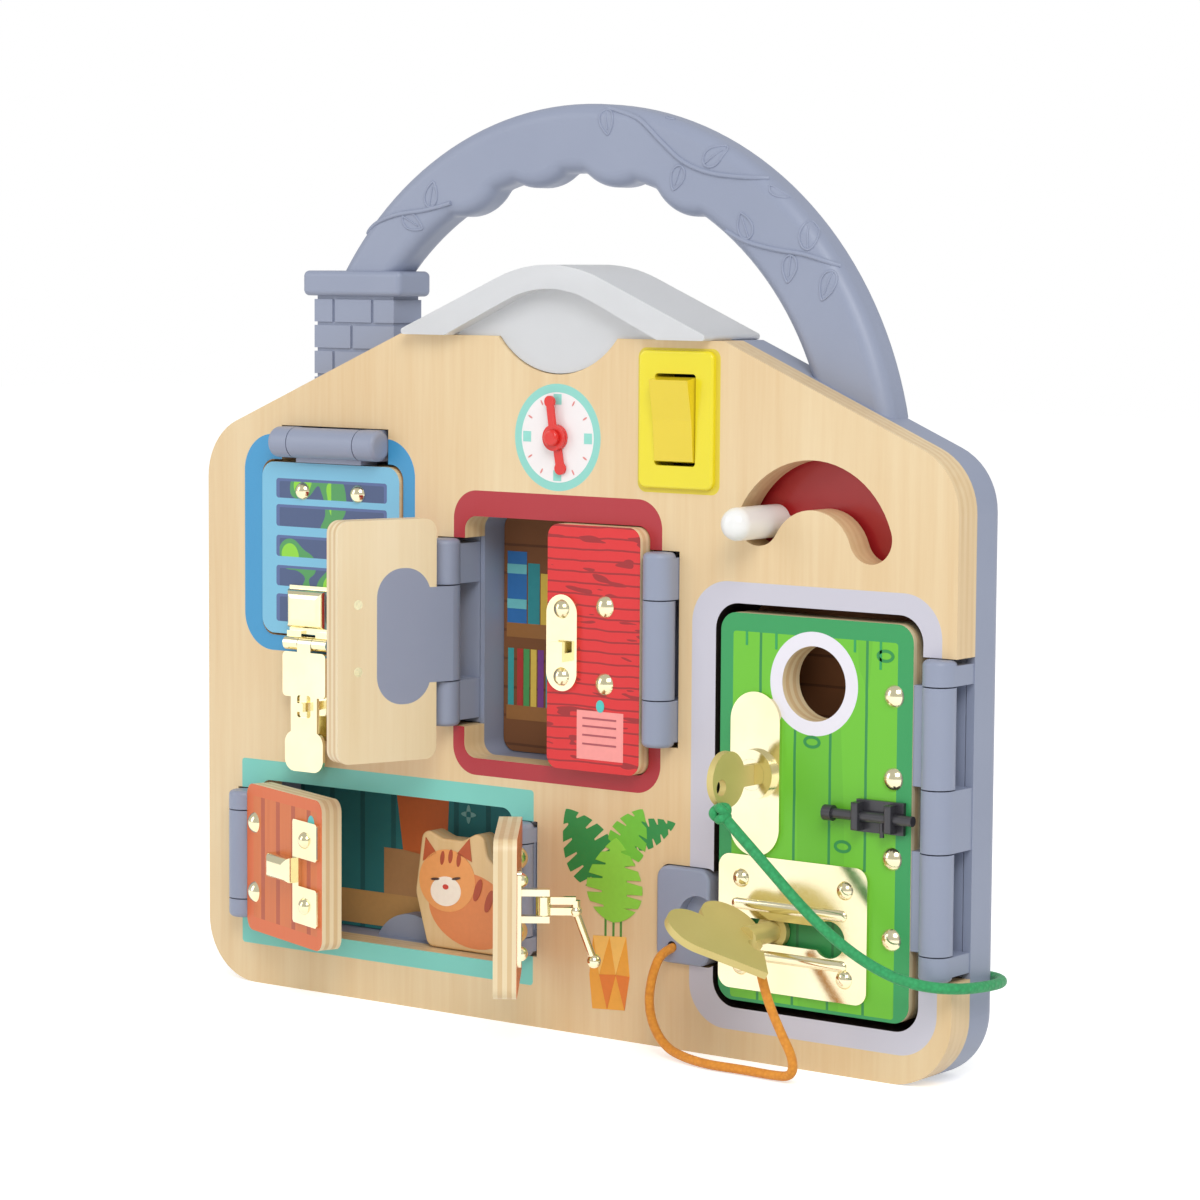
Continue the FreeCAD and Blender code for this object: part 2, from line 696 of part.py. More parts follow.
def heart_blank():
    """Heart standing in the XZ plane on its tip: two round lobes and a wedge tangent to both."""
    lobe = heart_width / 4 + 0.5
    lobe_x = heart_width / 2 - lobe
    lobe_z = heart_height - lobe
    far = math.hypot(lobe_x, lobe_z)
    lean = math.atan2(lobe_z, lobe_x)
    spread = math.asin(lobe / far)
    reach = math.sqrt(far ** 2 - lobe ** 2)
    right = point(reach * math.cos(lean - spread), 0, reach * math.sin(lean - spread))
    left = point(-right.x, 0, right.z)
    inner_right = point(lobe_x, 0, lobe_z)
    inner_left = point(-lobe_x, 0, lobe_z)
    wedge = Part.Face(Part.makePolygon([point(0, 0, 0), right, inner_right, inner_left, left,
                                        point(0, 0, 0)])).extrude(point(0, heart_thickness, 0))
    for x in (-lobe_x, lobe_x):
        wedge = wedge.fuse(rod(point(x, 0, lobe_z), Y_AXIS, lobe, heart_thickness))
    return wedge.removeSplitter()


heart = heart_blank()
heart.translate(point(0, -heart_thickness / 2, -heart_height / 2))
heart.rotate(point(0, 0, 0), Z_AXIS, -90)
heart.rotate(point(0, 0, 0), Y_AXIS, heart_tilt - 90)
heart_y = plate_front_y - heart_stand_off - heart_width / 2
heart.translate(point(slider_x, heart_y, slide_slot_z))
slider_stem = rod(point(slider_x, heart_y + heart_width / 4, slide_slot_z), Y_AXIS,
                  slide_stem_radius - 0.2,
                  entry_front_y + part_gap - heart_y - heart_width / 4)
slider_button = rod(point(slider_x, entry_front_y + part_gap, slide_slot_z), Y_AXIS,
                    slide_button_radius, slide_channel_depth - 2 * part_gap)
heart_slider = heart.fuse(slider_stem).fuse(slider_button).removeSplitter()
heart_hole_x = 85.6
heart_hole_y = depth(-15.4)
heart_hole_radius = cord_thickness / 2 + 0.9
heart_hole = rod(point(heart_hole_x, heart_hole_y, slide_slot_z - 20), Z_AXIS, heart_hole_radius, 40)
parts["heart_slider"] = heart_slider.cut(heart_hole)

# Small black bolt on the entry door
bolt_z = 77.6
bolt_left = 111.0
bolt_right = 127.0
bolt_height = 9.4
bolt_depth = 5.2
bolt_rod_radius = 1.5
bolt_reach = 131.0
bolt_centre_y = entry_front_y - bolt_depth / 2
bolt_plate_depth = 1.4
bolt_collar_width = 2.4
bolt_case = box(bolt_left, bolt_right, entry_front_y - bolt_plate_depth, entry_front_y,
                bolt_z - bolt_height / 2, bolt_z + bolt_height / 2)
for collar_left in (bolt_left + 0.2, bolt_right - bolt_collar_width - 2.2):
    collar = box(collar_left, collar_left + bolt_collar_width, entry_front_y - bolt_depth,
                 entry_front_y, bolt_z - bolt_height / 2 + 0.6, bolt_z + bolt_height / 2 - 0.6)
    bolt_case = bolt_case.fuse(soften(collar, entry_front_y - bolt_depth, 0.8))
bolt_bore = rod(point(bolt_left - 1, bolt_centre_y, bolt_z), X_AXIS,
                bolt_rod_radius + pin_clearance, bolt_right - bolt_left + 2)
parts["bolt_case"] = bolt_case.removeSplitter().cut(bolt_bore)
bolt_knob = 3.0
bolt_pin = rod(point(bolt_left - 7.0, bolt_centre_y, bolt_z), X_AXIS, bolt_rod_radius,
               bolt_reach - bolt_left + 7.0)
bolt_cap = rod(point(bolt_left - 7.0 - bolt_knob, bolt_centre_y, bolt_z), X_AXIS, 2.3, bolt_knob)
bolt_lever = rod(point(bolt_right - 6.4, bolt_centre_y, bolt_z), -Z_AXIS, 0.7, 5.6)
parts["bolt_pin"] = joined([bolt_pin, bolt_cap, bolt_lever])
parts["entry_door"] = entry_door
parts["entry_hinge_leaf"] = entry_leaf
parts["entry_rivets"] = Part.makeCompound(entry_rivets + slide_rivets)

# Grey keeper block beside the entry door, with a finger scoop
keeper_left = 40.0
keeper_right = entry_left - part_gap
keeper_bottom = 26.5
keeper_top = 55.8
keeper_proud = 2.0
keeper = slab(rectangle(keeper_left, keeper_right, keeper_bottom, keeper_top, 4.0),
              depth(-keeper_proud), y_joint)
keeper = soften(keeper, depth(-keeper_proud), 1.0)
scoop = rod(point(keeper_right - 4.0, depth(-keeper_proud) - 1, keeper_top - 15.0), Y_AXIS, 7.0, 5.0)
keeper = keeper.cut(scoop)
keeper_hole = slab(rectangle(keeper_left - part_gap, keeper_right + 2, keeper_bottom - part_gap,
                             keeper_top + part_gap, 4.0), y_front - 1, y_joint + 1)
cord_bore_x = 46.0
cord_bore_z = 31.5
cord_bore = rod(point(cord_bore_x, depth(-keeper_proud) - 1, cord_bore_z), Y_AXIS,
                cord_thickness / 2 + part_gap, 9.0)
parts["slide_keeper"] = keeper.cut(cord_bore)

# Shutter on a horizontal hinge in a shallow pocket
shutter_front_y = depth(-1.0)
shutter_back_y = shutter_front_y + shutter_thickness
pocket_depth = 7.0
shutter_clearance = 0.8
shutter_pocket = slab(rectangle(shutter_left - shutter_clearance, shutter_right + shutter_clearance,
                                shutter_bottom - shutter_clearance,
                                shutter_top + shutter_clearance, shutter_radius),
                      y_front - 1, depth(pocket_depth))
shutter_moving_left = shutter_hinge_left + shutter_hinge_end + knuckle_gap
shutter_moving_right = shutter_hinge_right - shutter_hinge_end - knuckle_gap
shutter_ends = [(shutter_hinge_left, shutter_hinge_left + shutter_hinge_end),
                (shutter_hinge_right - shutter_hinge_end, shutter_hinge_right)]
mount_solids = [box(shutter_hinge_left, shutter_hinge_right, y_joint, y_joint + tray_wall,
                    shutter_hinge_z - hinge_radius, shutter_hinge_z + mount_reach)]
for start, end in shutter_ends:
    mount_solids.append(end_knuckle(point(start, axis_y, shutter_hinge_z), X_AXIS, end - start,
                                    start == shutter_hinge_left, end == shutter_hinge_right))
    mount_solids.append(box(max(start, shutter_hinge_left + knuckle_rounding),
                            min(end, shutter_hinge_right - knuckle_rounding),
                            axis_y, y_joint + tray_wall,
                            shutter_hinge_z - hinge_radius, shutter_hinge_z + hinge_radius))
shutter_pin = rod(point(shutter_hinge_left + hinge_pin_inset, axis_y, shutter_hinge_z), X_AXIS,
                  hinge_pin_radius, shutter_hinge_right - shutter_hinge_left - 2 * hinge_pin_inset)
mounts.append(joined(mount_solids).cut(shutter_pin))
parts["hinge_mounts"] = Part.makeCompound(mounts)
pins.append(shutter_pin)
shutter_leaf = joined([
    rod(point(shutter_moving_left, axis_y, shutter_hinge_z), X_AXIS, hinge_radius,
        shutter_moving_right - shutter_moving_left),
    box(shutter_moving_left, shutter_moving_right, axis_y, shutter_back_y,
        shutter_top + part_gap, shutter_hinge_z),
    box(shutter_moving_left, shutter_moving_right, shutter_back_y - hinge_plate_thickness,
        shutter_back_y, shutter_top - 14.0, shutter_top + 1)])
shutter_leaf = shutter_leaf.cut(rod(point(shutter_moving_left - 1, axis_y, shutter_hinge_z), X_AXIS,
                                    hinge_pin_radius + pin_clearance, 60))
shutter = door_blank(shutter_left, shutter_right, shutter_bottom, shutter_top, shutter_radius,
                     shutter_front_y, shutter_thickness).cut(shutter_leaf)
shutter_rivets = []
for offset in (-11.5, 11.5):
    spot_x = shutter_middle + offset
    spot_z = shutter_top - 9.0
    shutter = shutter.cut(rivet_hole(spot_x, spot_z, shutter_front_y, shutter_thickness))
    shutter_leaf = shutter_leaf.cut(rivet_hole(spot_x, spot_z, shutter_front_y,
                                               shutter_thickness))
    shutter_rivets.append(rivet(spot_x, spot_z, shutter_front_y, shutter_thickness, 2.9))
parts["shutter"] = shutter
parts["shutter_hinge_leaf"] = shutter_leaf
parts["shutter_rivets"] = Part.makeCompound(shutter_rivets)

# Brass hasp hanging from the shutter over a catch on the board
hasp_knuckle_radius = 2.2
hasp_pin_radius = 0.8
hasp_z = shutter_bottom - 2.4
hasp_y = shutter_front_y - 2.5
hasp_left = hasp_x - hasp_width / 2
hasp_third = hasp_width / 3
hasp_base_height = 16.0
base_front_y = shutter_front_y - plate_thickness
hasp_base = box(hasp_left, hasp_left + hasp_width, base_front_y, shutter_front_y,
                shutter_bottom + 0.5, shutter_bottom + hasp_base_height)
hasp_dome = box(hasp_left + 1, hasp_left + hasp_width - 1, base_front_y - 4.0, base_front_y,
                shutter_bottom + 2.5, shutter_bottom + hasp_base_height - 1.0)
hasp_dome = soften(hasp_dome, base_front_y - 4.0, 3.0)
base_solids = [hasp_base, hasp_dome]
for start in (hasp_left, hasp_left + 2 * hasp_third):
    base_solids.append(rod(point(start, hasp_y, hasp_z), X_AXIS, hasp_knuckle_radius, hasp_third))
    base_solids.append(box(start, start + hasp_third, hasp_y, shutter_front_y - 0.1,
                           hasp_z + 0.6, shutter_bottom + 1.5))
base_solids.append(rod(point(hasp_left, hasp_y, hasp_z), X_AXIS, hasp_pin_radius, hasp_width))
parts["hasp_base"] = joined(base_solids)
flap_front_y = hasp_y - hasp_knuckle_radius
flap_back_y = flap_front_y + plate_thickness
flap_panel_bottom = hasp_z - 17.0
flap_neck_bottom = flap_panel_bottom - 13.0
flap_tab_bottom = flap_neck_bottom - 11.0
neck_half = hasp_width / 2 - 3.5
tab_half = hasp_width / 2 - 1.0
flap = joined([
    rod(point(hasp_left + hasp_third + 0.2, hasp_y, hasp_z), X_AXIS, hasp_knuckle_radius,
        hasp_third - 0.4),
    box(hasp_left + hasp_third + 0.2, hasp_left + 2 * hasp_third - 0.2, flap_front_y, flap_back_y,
        hasp_z - 4.0, hasp_z),
    slab(rectangle(hasp_left, hasp_left + hasp_width, flap_panel_bottom, hasp_z - 2.6, 1.5),
         flap_front_y, flap_back_y),
    slab(rectangle(hasp_x - neck_half, hasp_x + neck_half, flap_neck_bottom - 3.0,
                   flap_panel_bottom + 3.0, 1.0), flap_front_y, flap_back_y),
    slab(rectangle(hasp_x - tab_half, hasp_x + tab_half, flap_tab_bottom,
                   flap_neck_bottom + 2.0, 4.0), flap_front_y, flap_back_y)])
peg_half = 1.8
catch_peg_z = flap_panel_bottom - 3.0
flap_slot = slab(rectangle(hasp_x - peg_half - 1.0, hasp_x + peg_half + 1.0,
                           catch_peg_z - 3.6, catch_peg_z + 3.6, 1.0),
                 flap_front_y - 1, flap_back_y + 1)
flap = flap.cut(flap_slot)
flap = flap.cut(rod(point(hasp_left - 1, hasp_y, hasp_z), X_AXIS,
                    hasp_pin_radius + pin_clearance, hasp_width + 2))
parts["hasp_flap"] = flap
catch_half = hasp_width / 2 - 0.5
catch_plate = slab(rectangle(hasp_x - catch_half, hasp_x + catch_half,
                             catch_peg_z - 11.0, catch_peg_z + 7.0, 2.0),
                   depth(-plate_thickness), y_front)
catch_peg = box(hasp_x - peg_half, hasp_x + peg_half, flap_front_y - 2.6,
                depth(-plate_thickness), catch_peg_z - 1.4, catch_peg_z + 1.4)
parts["hasp_catch"] = catch_plate.fuse(catch_peg).removeSplitter()

# Window latch on the left door and its keeper on the right door, both shown closed
keeper_plate_width = 11.5
keeper_plate_left = 0.9
keeper_plate_right = keeper_plate_left + keeper_plate_width
keeper_rise = 14.7
keeper_rivet_rise = 10.3
latch_arm_width = 5.0
latch_arm_length = 16.0
latch_pivot_x = -7.5
plate_y = door_front_y - plate_thickness
arm_back_y = plate_y - part_gap
arm_front_y = arm_back_y - plate_thickness
keeper_x = (keeper_plate_left + keeper_plate_right) / 2
window_keeper = slab(rectangle(keeper_plate_left, keeper_plate_right, window_z - keeper_rise,
                               window_z + keeper_rise, keeper_plate_width / 2 - 0.01),
                     plate_y, door_front_y)
hook_low_z = window_z - latch_arm_width / 2 - 0.4
hook_depth = plate_y - arm_front_y + 1.6
hook = joined([
    box(keeper_x - 2.6, keeper_x + 2.6, plate_y - hook_depth, plate_y, hook_low_z - 2.6, hook_low_z),
    box(keeper_x - 2.6, keeper_x + 2.6, plate_y - hook_depth, arm_front_y - part_gap,
        hook_low_z - 0.5, hook_low_z + 3.4)])
window_keeper = window_keeper.fuse(hook).removeSplitter()
keeper_rivets = []
right_door = closed["window_right_door"]
for offset in (-keeper_rivet_rise, keeper_rivet_rise):
    hole = rivet_hole(keeper_x, window_z + offset, plate_y, 5.0)
    right_door = right_door.cut(hole)
    window_keeper = window_keeper.cut(hole)
    keeper_rivets.append(rivet(keeper_x, window_z + offset, plate_y, 5.0, 2.9))
closed["window_right_door"] = right_door
closed["window_right_rivets"] = closed["window_right_rivets"] + keeper_rivets
parts["window_keeper"] = window_keeper
latch_plate = slab(rectangle(latch_pivot_x - 4.5, latch_pivot_x + 4.5, window_z - keeper_rise,
                             window_z + keeper_rise, 4.4), plate_y, door_front_y)
latch_rivets = []
left_door = closed["window_left_door"]
for offset in (-keeper_rivet_rise, keeper_rivet_rise):
    hole = rod(point(latch_pivot_x, plate_y, window_z + offset), Y_AXIS, rivet_shank_radius,
               door_thickness + plate_thickness)
    left_door = left_door.cut(hole)
    latch_plate = latch_plate.cut(hole)
    latch_rivets.append(rod(point(latch_pivot_x, plate_y, window_z + offset), Y_AXIS,
                            rivet_shank_radius, door_thickness + plate_thickness))
pivot_radius = 1.5
pivot_head = 1.4
latch_pivot = rod(point(latch_pivot_x, arm_front_y - 0.1, window_z), Y_AXIS, pivot_radius,
                  door_front_y - arm_front_y + 2.0)
latch_pivot = latch_pivot.fuse(rod(point(latch_pivot_x, arm_front_y - 0.1 - pivot_head, window_z),
                                   Y_AXIS, 2.6, pivot_head)).removeSplitter()
left_door = left_door.cut(latch_pivot)
latch_arm = slab(rectangle(latch_pivot_x - latch_arm_width / 2, latch_pivot_x + latch_arm_width / 2,
                           window_z - latch_arm_width / 2, window_z + latch_arm_length,
                           latch_arm_width / 2 - 0.01), arm_front_y, arm_back_y)
latch_arm = latch_arm.cut(rod(point(latch_pivot_x, arm_front_y - 1, window_z), Y_AXIS,
                              pivot_radius + pin_clearance, 4))
closed["window_left_door"] = left_door
closed["window_latch_plate"] = latch_plate.fuse(latch_pivot).removeSplitter()
closed["window_left_rivets"] = closed["window_left_rivets"] + latch_rivets
closed["window_latch_arm"] = latch_arm

# Kennel guard: strike on the left door, swinging lever on the right door, both shown closed
strike_width = 16.0
strike_square = 12.0
strike_inset = 1.4
strike_gap = 9.0
strike_right = kennel_middle - meeting_gap - strike_inset
strike_left = strike_right - strike_width
strike_solids = []
strike_rivets = []
kennel_door = closed["kennel_left_door"]
for sign in (-1, 1):
    low, high = sorted((kennel_z + sign * strike_gap / 2,
                        kennel_z + sign * (strike_gap / 2 + strike_square)))
    strike_solids.append(slab(rectangle(strike_left, strike_right, low, high, 1.0),
                              plate_y, door_front_y))
    spot_z = (low + high) / 2
    spot_x = (strike_left + strike_right) / 2
    strike_rivets.append(rivet(spot_x, spot_z, plate_y, 5.0, 2.7))
strike_solids.append(box(strike_left, strike_left + 4.0, plate_y, door_front_y,
                         kennel_z - strike_gap / 2 - 1, kennel_z + strike_gap / 2 + 1))
channel_length = 13.0
channel_proud = 3.6
channel_block = box(strike_left - channel_length, strike_left + 1.0, plate_y - channel_proud,
                    door_front_y, kennel_z - 4.0, kennel_z + 4.0)
strike_solids.append(soften(channel_block, plate_y - channel_proud, 2.6))
kennel_strike = joined(strike_solids)
for z in (kennel_z - strike_gap / 2 - strike_square / 2,
          kennel_z + strike_gap / 2 + strike_square / 2):
    hole = rivet_hole((strike_left + strike_right) / 2, z, plate_y, 5.0)
    kennel_strike = kennel_strike.cut(hole)
    kennel_door = kennel_door.cut(hole)
closed["kennel_left_door"] = kennel_door
closed["kennel_strike"] = kennel_strike
closed["kennel_left_rivets"] = closed["kennel_left_rivets"] + strike_rivets

guard_pivot_x = kennel_middle + meeting_gap + 7.0
guard_stand_off = 6.5
guard_pivot_y = plate_y - guard_stand_off
guard_wire_radius = 1.1
guard_pin_radius = 0.9
guard_ear = 2.0
guard_low = kennel_z - 14.5
guard_high = kennel_z + 14.5
ear_low = kennel_z - 1.5
ear_high = kennel_z + 8.5
guard_solids = [slab(rectangle(guard_pivot_x - 4.5, guard_pivot_x + 4.5, guard_low, guard_high,
                               1.5), plate_y, door_front_y)]
for z in (ear_low, ear_high - guard_ear):
    guard_solids.append(box(guard_pivot_x - 1.8, guard_pivot_x + 1.8, guard_pivot_y - 1.8, plate_y,
                            z, z + guard_ear))
guard_base = joined(guard_solids)
guard_rivets = []
kennel_door = closed["kennel_right_door"]
for z in (guard_low + 3.5, guard_high - 3.5):
    hole = rivet_hole(guard_pivot_x, z, plate_y, 5.0)
    guard_base = guard_base.cut(hole)
    kennel_door = kennel_door.cut(hole)
    guard_rivets.append(rivet(guard_pivot_x, z, plate_y, 5.0, 2.2))
closed["kennel_right_door"] = kennel_door
guard_pin = rod(point(guard_pivot_x, guard_pivot_y, ear_low), Z_AXIS, guard_pin_radius,
                ear_high - ear_low)
closed["kennel_guard_base"] = guard_base.fuse(guard_pin).removeSplitter()
closed["kennel_right_rivets"] = closed["kennel_right_rivets"] + guard_rivets
hub_low = ear_low + guard_ear + 0.3
hub_high = ear_high - guard_ear - 0.3
guard_reach = 9.5
lever_drop = 13.0
guard_bead_radius = guard_wire_radius + 0.2
guard_knob_radius = 2.1
lever_out = 15.0
hub = rod(point(guard_pivot_x, guard_pivot_y, hub_low), Z_AXIS, 2.3, hub_high - hub_low)
bar_top = point(guard_pivot_x - guard_reach, guard_pivot_y, hub_high - guard_wire_radius)
bend = point(guard_pivot_x - guard_reach, guard_pivot_y, hub_low + guard_wire_radius)
bar_end = point(guard_pivot_x - lever_out, guard_pivot_y, kennel_z - lever_drop)
lever_solids = [hub]
for z in (bend.z, bar_top.z):
    lever_solids.append(box(bend.x, guard_pivot_x, guard_pivot_y - guard_wire_radius,
                            guard_pivot_y + guard_wire_radius, z - guard_wire_radius,
                            z + guard_wire_radius))
lever_solids.append(rod(bar_top, bend - bar_top, guard_bead_radius, (bend - bar_top).Length))
lever_solids.append(Part.makeSphere(guard_knob_radius - 0.3, bend))
lever_solids.append(rod(bend, bar_end - bend, guard_bead_radius - 0.2, (bar_end - bend).Length))
lever_solids.append(Part.makeSphere(guard_knob_radius, bar_end))
lever = hub
for solid in lever_solids[1:]:
    lever = lever.fuse(solid)
lever = lever.cut(rod(point(guard_pivot_x, guard_pivot_y, hub_low - 1), Z_AXIS,
                      guard_pin_radius + pin_clearance, hub_high - hub_low + 2))
closed["kennel_guard_lever"] = lever

# Doors turned to where they stand at rest
window_hinge_left = point(-window_hinge_x, axis_y, 0)
kennel_pivot_left = point(kennel_axis_left, axis_y, 0)
kennel_pivot_right = point(kennel_axis_right, axis_y, 0)
guard_pivot = point(guard_pivot_x, guard_pivot_y, 0)
guard_rest = 90.0
at_rest = {}
for name, shape in closed.items():
    if isinstance(shape, list):
        shape = Part.makeCompound(shape)
    if name.startswith("window_left") or name.startswith("window_latch"):
        shape = turned(shape, window_hinge_left, Z_AXIS, -window_left_open)
    elif name.startswith("kennel_left") or name.startswith("kennel_strike"):
        shape = turned(shape, kennel_pivot_left, Z_AXIS, -kennel_left_open)
    elif name.startswith("kennel_right") or name.startswith("kennel_guard"):
        if name == "kennel_guard_lever":
            shape = turned(shape, guard_pivot, Z_AXIS, guard_rest)
        shape = turned(shape, kennel_pivot_right, Z_AXIS, kennel_right_open)
    at_rest[name] = shape
parts.update(at_rest)

# Clock with two hands that turn one behind the other
hand_thickness = 1.0
clock_hub_radius = 4.0
hour_length = 13.0
minute_length = 15.0
hour_front = y_front - 0.2 - hand_thickness
minute_front = hour_front - 0.2 - hand_thickness


def clock_hand(front_y, length, direction, width):
    hub = rod(point(clock_x, front_y, clock_z), Y_AXIS, clock_hub_radius, hand_thickness)
    blade = box(clock_x - width / 2, clock_x + width / 2, front_y, front_y + hand_thickness,
                clock_z, clock_z + length)
    blade = blade.fuse(rod(point(clock_x, front_y, clock_z + length), Y_AXIS, width / 2 + 0.6,
                           hand_thickness))
    hand = hub.fuse(blade).removeSplitter()
    hand = hand.cut(rod(point(clock_x, front_y - 1, clock_z), Y_AXIS,
                        clock_pin_radius + pin_clearance, hand_thickness + 2))
    return turned(hand, point(clock_x, 0, clock_z), Y_AXIS, direction)


parts["hour_hand"] = clock_hand(hour_front, hour_length - 3.5, 170.0, 2.6)
parts["minute_hand"] = clock_hand(minute_front, minute_length - 4.0, -8.0, 2.4)
pin_head_y = minute_front - 0.2
clock_pin = rod(point(clock_x, pin_head_y, clock_z), Y_AXIS, clock_pin_radius,
                y_joint - pin_head_y)
clock_cap = rod(point(clock_x, pin_head_y - 1.6, clock_z), Y_AXIS, 2.6, 1.6)
parts["clock_pin"] = clock_pin.fuse(soften(clock_cap, pin_head_y - 1.6, 0.9)).removeSplitter()

# Weather dial: a red cup behind the curved slot, and a peg on an arm that swings in it
arm_front = y_joint + part_gap
arm_thickness = 1.6
arm_width = 6.0
peg_angle = 153.0
peg_place = on_dial(dial_mean, math.radians(peg_angle), depth(-peg_length))
dial_cup_depth = part_gap + arm_thickness + 0.5
cup_wall = 1.2
cup_floor_z = dial_z - arm_width / 2 - 1.5
cup_block = rod(point(dial_x, y_joint, dial_z), Y_AXIS, dial_cup_radius, dial_cup_depth + cup_wall)
cup_hollow = rod(point(dial_x, y_joint - 1, dial_z), Y_AXIS, dial_cup_radius - cup_wall,
                 dial_cup_depth + 1)
above_floor = box(dial_x - dial_cup_radius, dial_x + dial_cup_radius, y_joint - 2, y_back,
                  cup_floor_z, dial_z + dial_cup_radius)
above_inner = box(dial_x - dial_cup_radius, dial_x + dial_cup_radius, y_joint - 2, y_back,
                  cup_floor_z + cup_wall, dial_z + dial_cup_radius)
parts["dial_cup"] = cup_block.common(above_floor).cut(cup_hollow.common(above_inner))
peg_body = rod(peg_place, Y_AXIS, peg_radius, peg_length + ply_thickness)
peg_body = soften(peg_body, peg_place.y, peg_radius - 0.4)
peg_foot = rod(point(peg_place.x, y_joint - 0.2, peg_place.z), Y_AXIS, arm_width / 2,
               0.2 + part_gap + arm_thickness)
arm_bar = box(dial_x, dial_x + dial_mean, arm_front, arm_front + arm_thickness,
              dial_z - arm_width / 2, dial_z + arm_width / 2)
arm_bar = turned(arm_bar, point(dial_x, 0, dial_z), Y_AXIS, -peg_angle)
arm_hub = rod(point(dial_x, arm_front, dial_z), Y_AXIS, arm_width / 2, arm_thickness)
dial_axle = rod(point(dial_x, y_joint - dial_axle_hole_depth + 0.2, dial_z), Y_AXIS,
                dial_axle_radius, dial_axle_hole_depth + part_gap)
parts["dial_peg"] = joined([peg_body, peg_foot, arm_bar, arm_hub, dial_axle])

# Light switch: yellow plate, rocker and switch body
switch_plate_proud = 1.6
rocker_gap = 0.4
switch_front = depth(-switch_plate_proud)
switch_plate = slab(rectangle(switch_x - switch_plate_width / 2, switch_x + switch_plate_width / 2,
                              switch_z - switch_plate_height / 2,
                              switch_z + switch_plate_height / 2, 2.5), switch_front, y_front)
switch_plate = soften(switch_plate, switch_front, 0.8)
well = slab(rectangle(switch_x - rocker_width / 2 - rocker_gap,
                      switch_x + rocker_width / 2 + rocker_gap,
                      switch_z - rocker_height / 2 - rocker_gap,
                      switch_z + rocker_height / 2 + rocker_gap, 1.0),
            switch_front - 1, y_joint)
switch_plug_width = switch_plate_width - 2 * switch_hole_inset - 0.2
switch_plug_height = switch_plate_height - 2 * switch_hole_inset - 0.2
switch_plug = slab(rectangle(switch_x - switch_plug_width / 2, switch_x + switch_plug_width / 2,
                             switch_z - switch_plug_height / 2, switch_z + switch_plug_height / 2,
                             1.8), y_front, depth(8.5))
rocker_axis_y = depth(2.0)
rocker_pin_radius = 1.2
rocker_pin_length = rocker_width + 4.0
rocker_socket = rod(point(switch_x - rocker_pin_length / 2 - 0.1, rocker_axis_y, switch_z), X_AXIS,
                    rocker_pin_radius + pin_clearance, rocker_pin_length + 0.2)
switch_plate = switch_plate.fuse(switch_plug).removeSplitter().cut(well).cut(rocker_socket)
parts["switch_plate"] = switch_plate
rocker_proud = 3.2
half = rocker_height / 2
rocker_profile = [
    point(0, switch_front - rocker_proud + 1.6, switch_z),
    point(0, switch_front - rocker_proud - 0.6, switch_z + half - 1.4),
    point(0, switch_front + 1.2, switch_z + half - 0.6),
    point(0, depth(3.6), switch_z + half - 4.0),
    point(0, depth(5.0), switch_z),
    point(0, depth(3.6), switch_z - half + 4.0),
    point(0, switch_front + 1.2, switch_z - half + 0.6),
    point(0, switch_front - 0.6, switch_z - half + 1.0)]
rocker_face = Part.Face(Part.makePolygon(rocker_profile + [rocker_profile[0]]))
rocker_face.translate(point(switch_x - rocker_width / 2, 0, 0))
rocker = rocker_face.extrude(point(rocker_width, 0, 0))
rocker = rocker.fuse(rod(point(switch_x - rocker_pin_length / 2, rocker_axis_y, switch_z), X_AXIS,
                         rocker_pin_radius, rocker_pin_length)).removeSplitter()
parts["rocker"] = rocker
parts["switch_body"] = box(switch_x - 6.5, switch_x + 6.5, depth(8.5), y_joint + 6.0,
                           switch_z - 9.5, switch_z + 9.5)

# Roof lamp: translucent cap, circuit board and light behind the lens
cap_front_y = y_front
lamp_outline = [(-lamp_half_width, lamp_seat_z, 1.0), (lamp_half_width, lamp_seat_z, 1.0),
                (0, eave_height + roof_rise, ridge_radius)]
cap_body = slab(lamp_outline, cap_front_y + 1.0, y_back - 0.6)
arch_top_drop = lamp_arch_height
inner_half = lamp_half_width - 19.0
arch_outer = slab(lamp_outline, y_front - lamp_front_overhang, y_front + 1.0)
arch_hole = slab([(-inner_half, lamp_seat_z - 1, 0.0), (inner_half, lamp_seat_z - 1, 0.0),
                  (0, eave_height + roof_rise - arch_top_drop + 1.2, ridge_radius - 12)],
                 y_front - lamp_front_overhang - 1, y_front + 1.0)
arch = arch_outer.cut(arch_hole)
cap = cap_body.fuse(arch).removeSplitter()
cavity_outline = [(-lamp_half_width + 8.0, lamp_seat_z - 1, 0.0),
                  (lamp_half_width - 8.0, lamp_seat_z - 1, 0.0),
                  (0, eave_height + roof_rise - 2 * lamp_wall, ridge_radius - lamp_wall)]
cavity = slab(cavity_outline, cap_front_y + 1.0 + lamp_wall, y_back - 0.6 - lamp_wall)
cap = cap.cut(cavity)
lens = rod(point(0, y_front + 1.0, lens_centre_z), Y_AXIS, lens_radius, lens_thickness)
lens = lens.common(box(-lens_radius, lens_radius, y_front, y_joint, lamp_seat_z - lens_drop - 1,
                       lamp_seat_z))
cap = cap.fuse(lens).removeSplitter()
parts["lamp_cap"] = cap
lamp_board_y = y_joint + 3.5
board_half = 16.0
shelf_floor = lamp_seat_z
lamp_board = box(-board_half, board_half, lamp_board_y, lamp_board_y + 1.2, shelf_floor,
                 shelf_floor + 13.0)
led = rod(point(0, lamp_board_y - 4.0, shelf_floor + 6.0), Y_AXIS, 2.5, 4.0)
led = led.fuse(Part.makeSphere(2.5, point(0, lamp_board_y - 4.0, shelf_floor + 6.0)))
parts["lamp_board"] = lamp_board.fuse(led).removeSplitter()

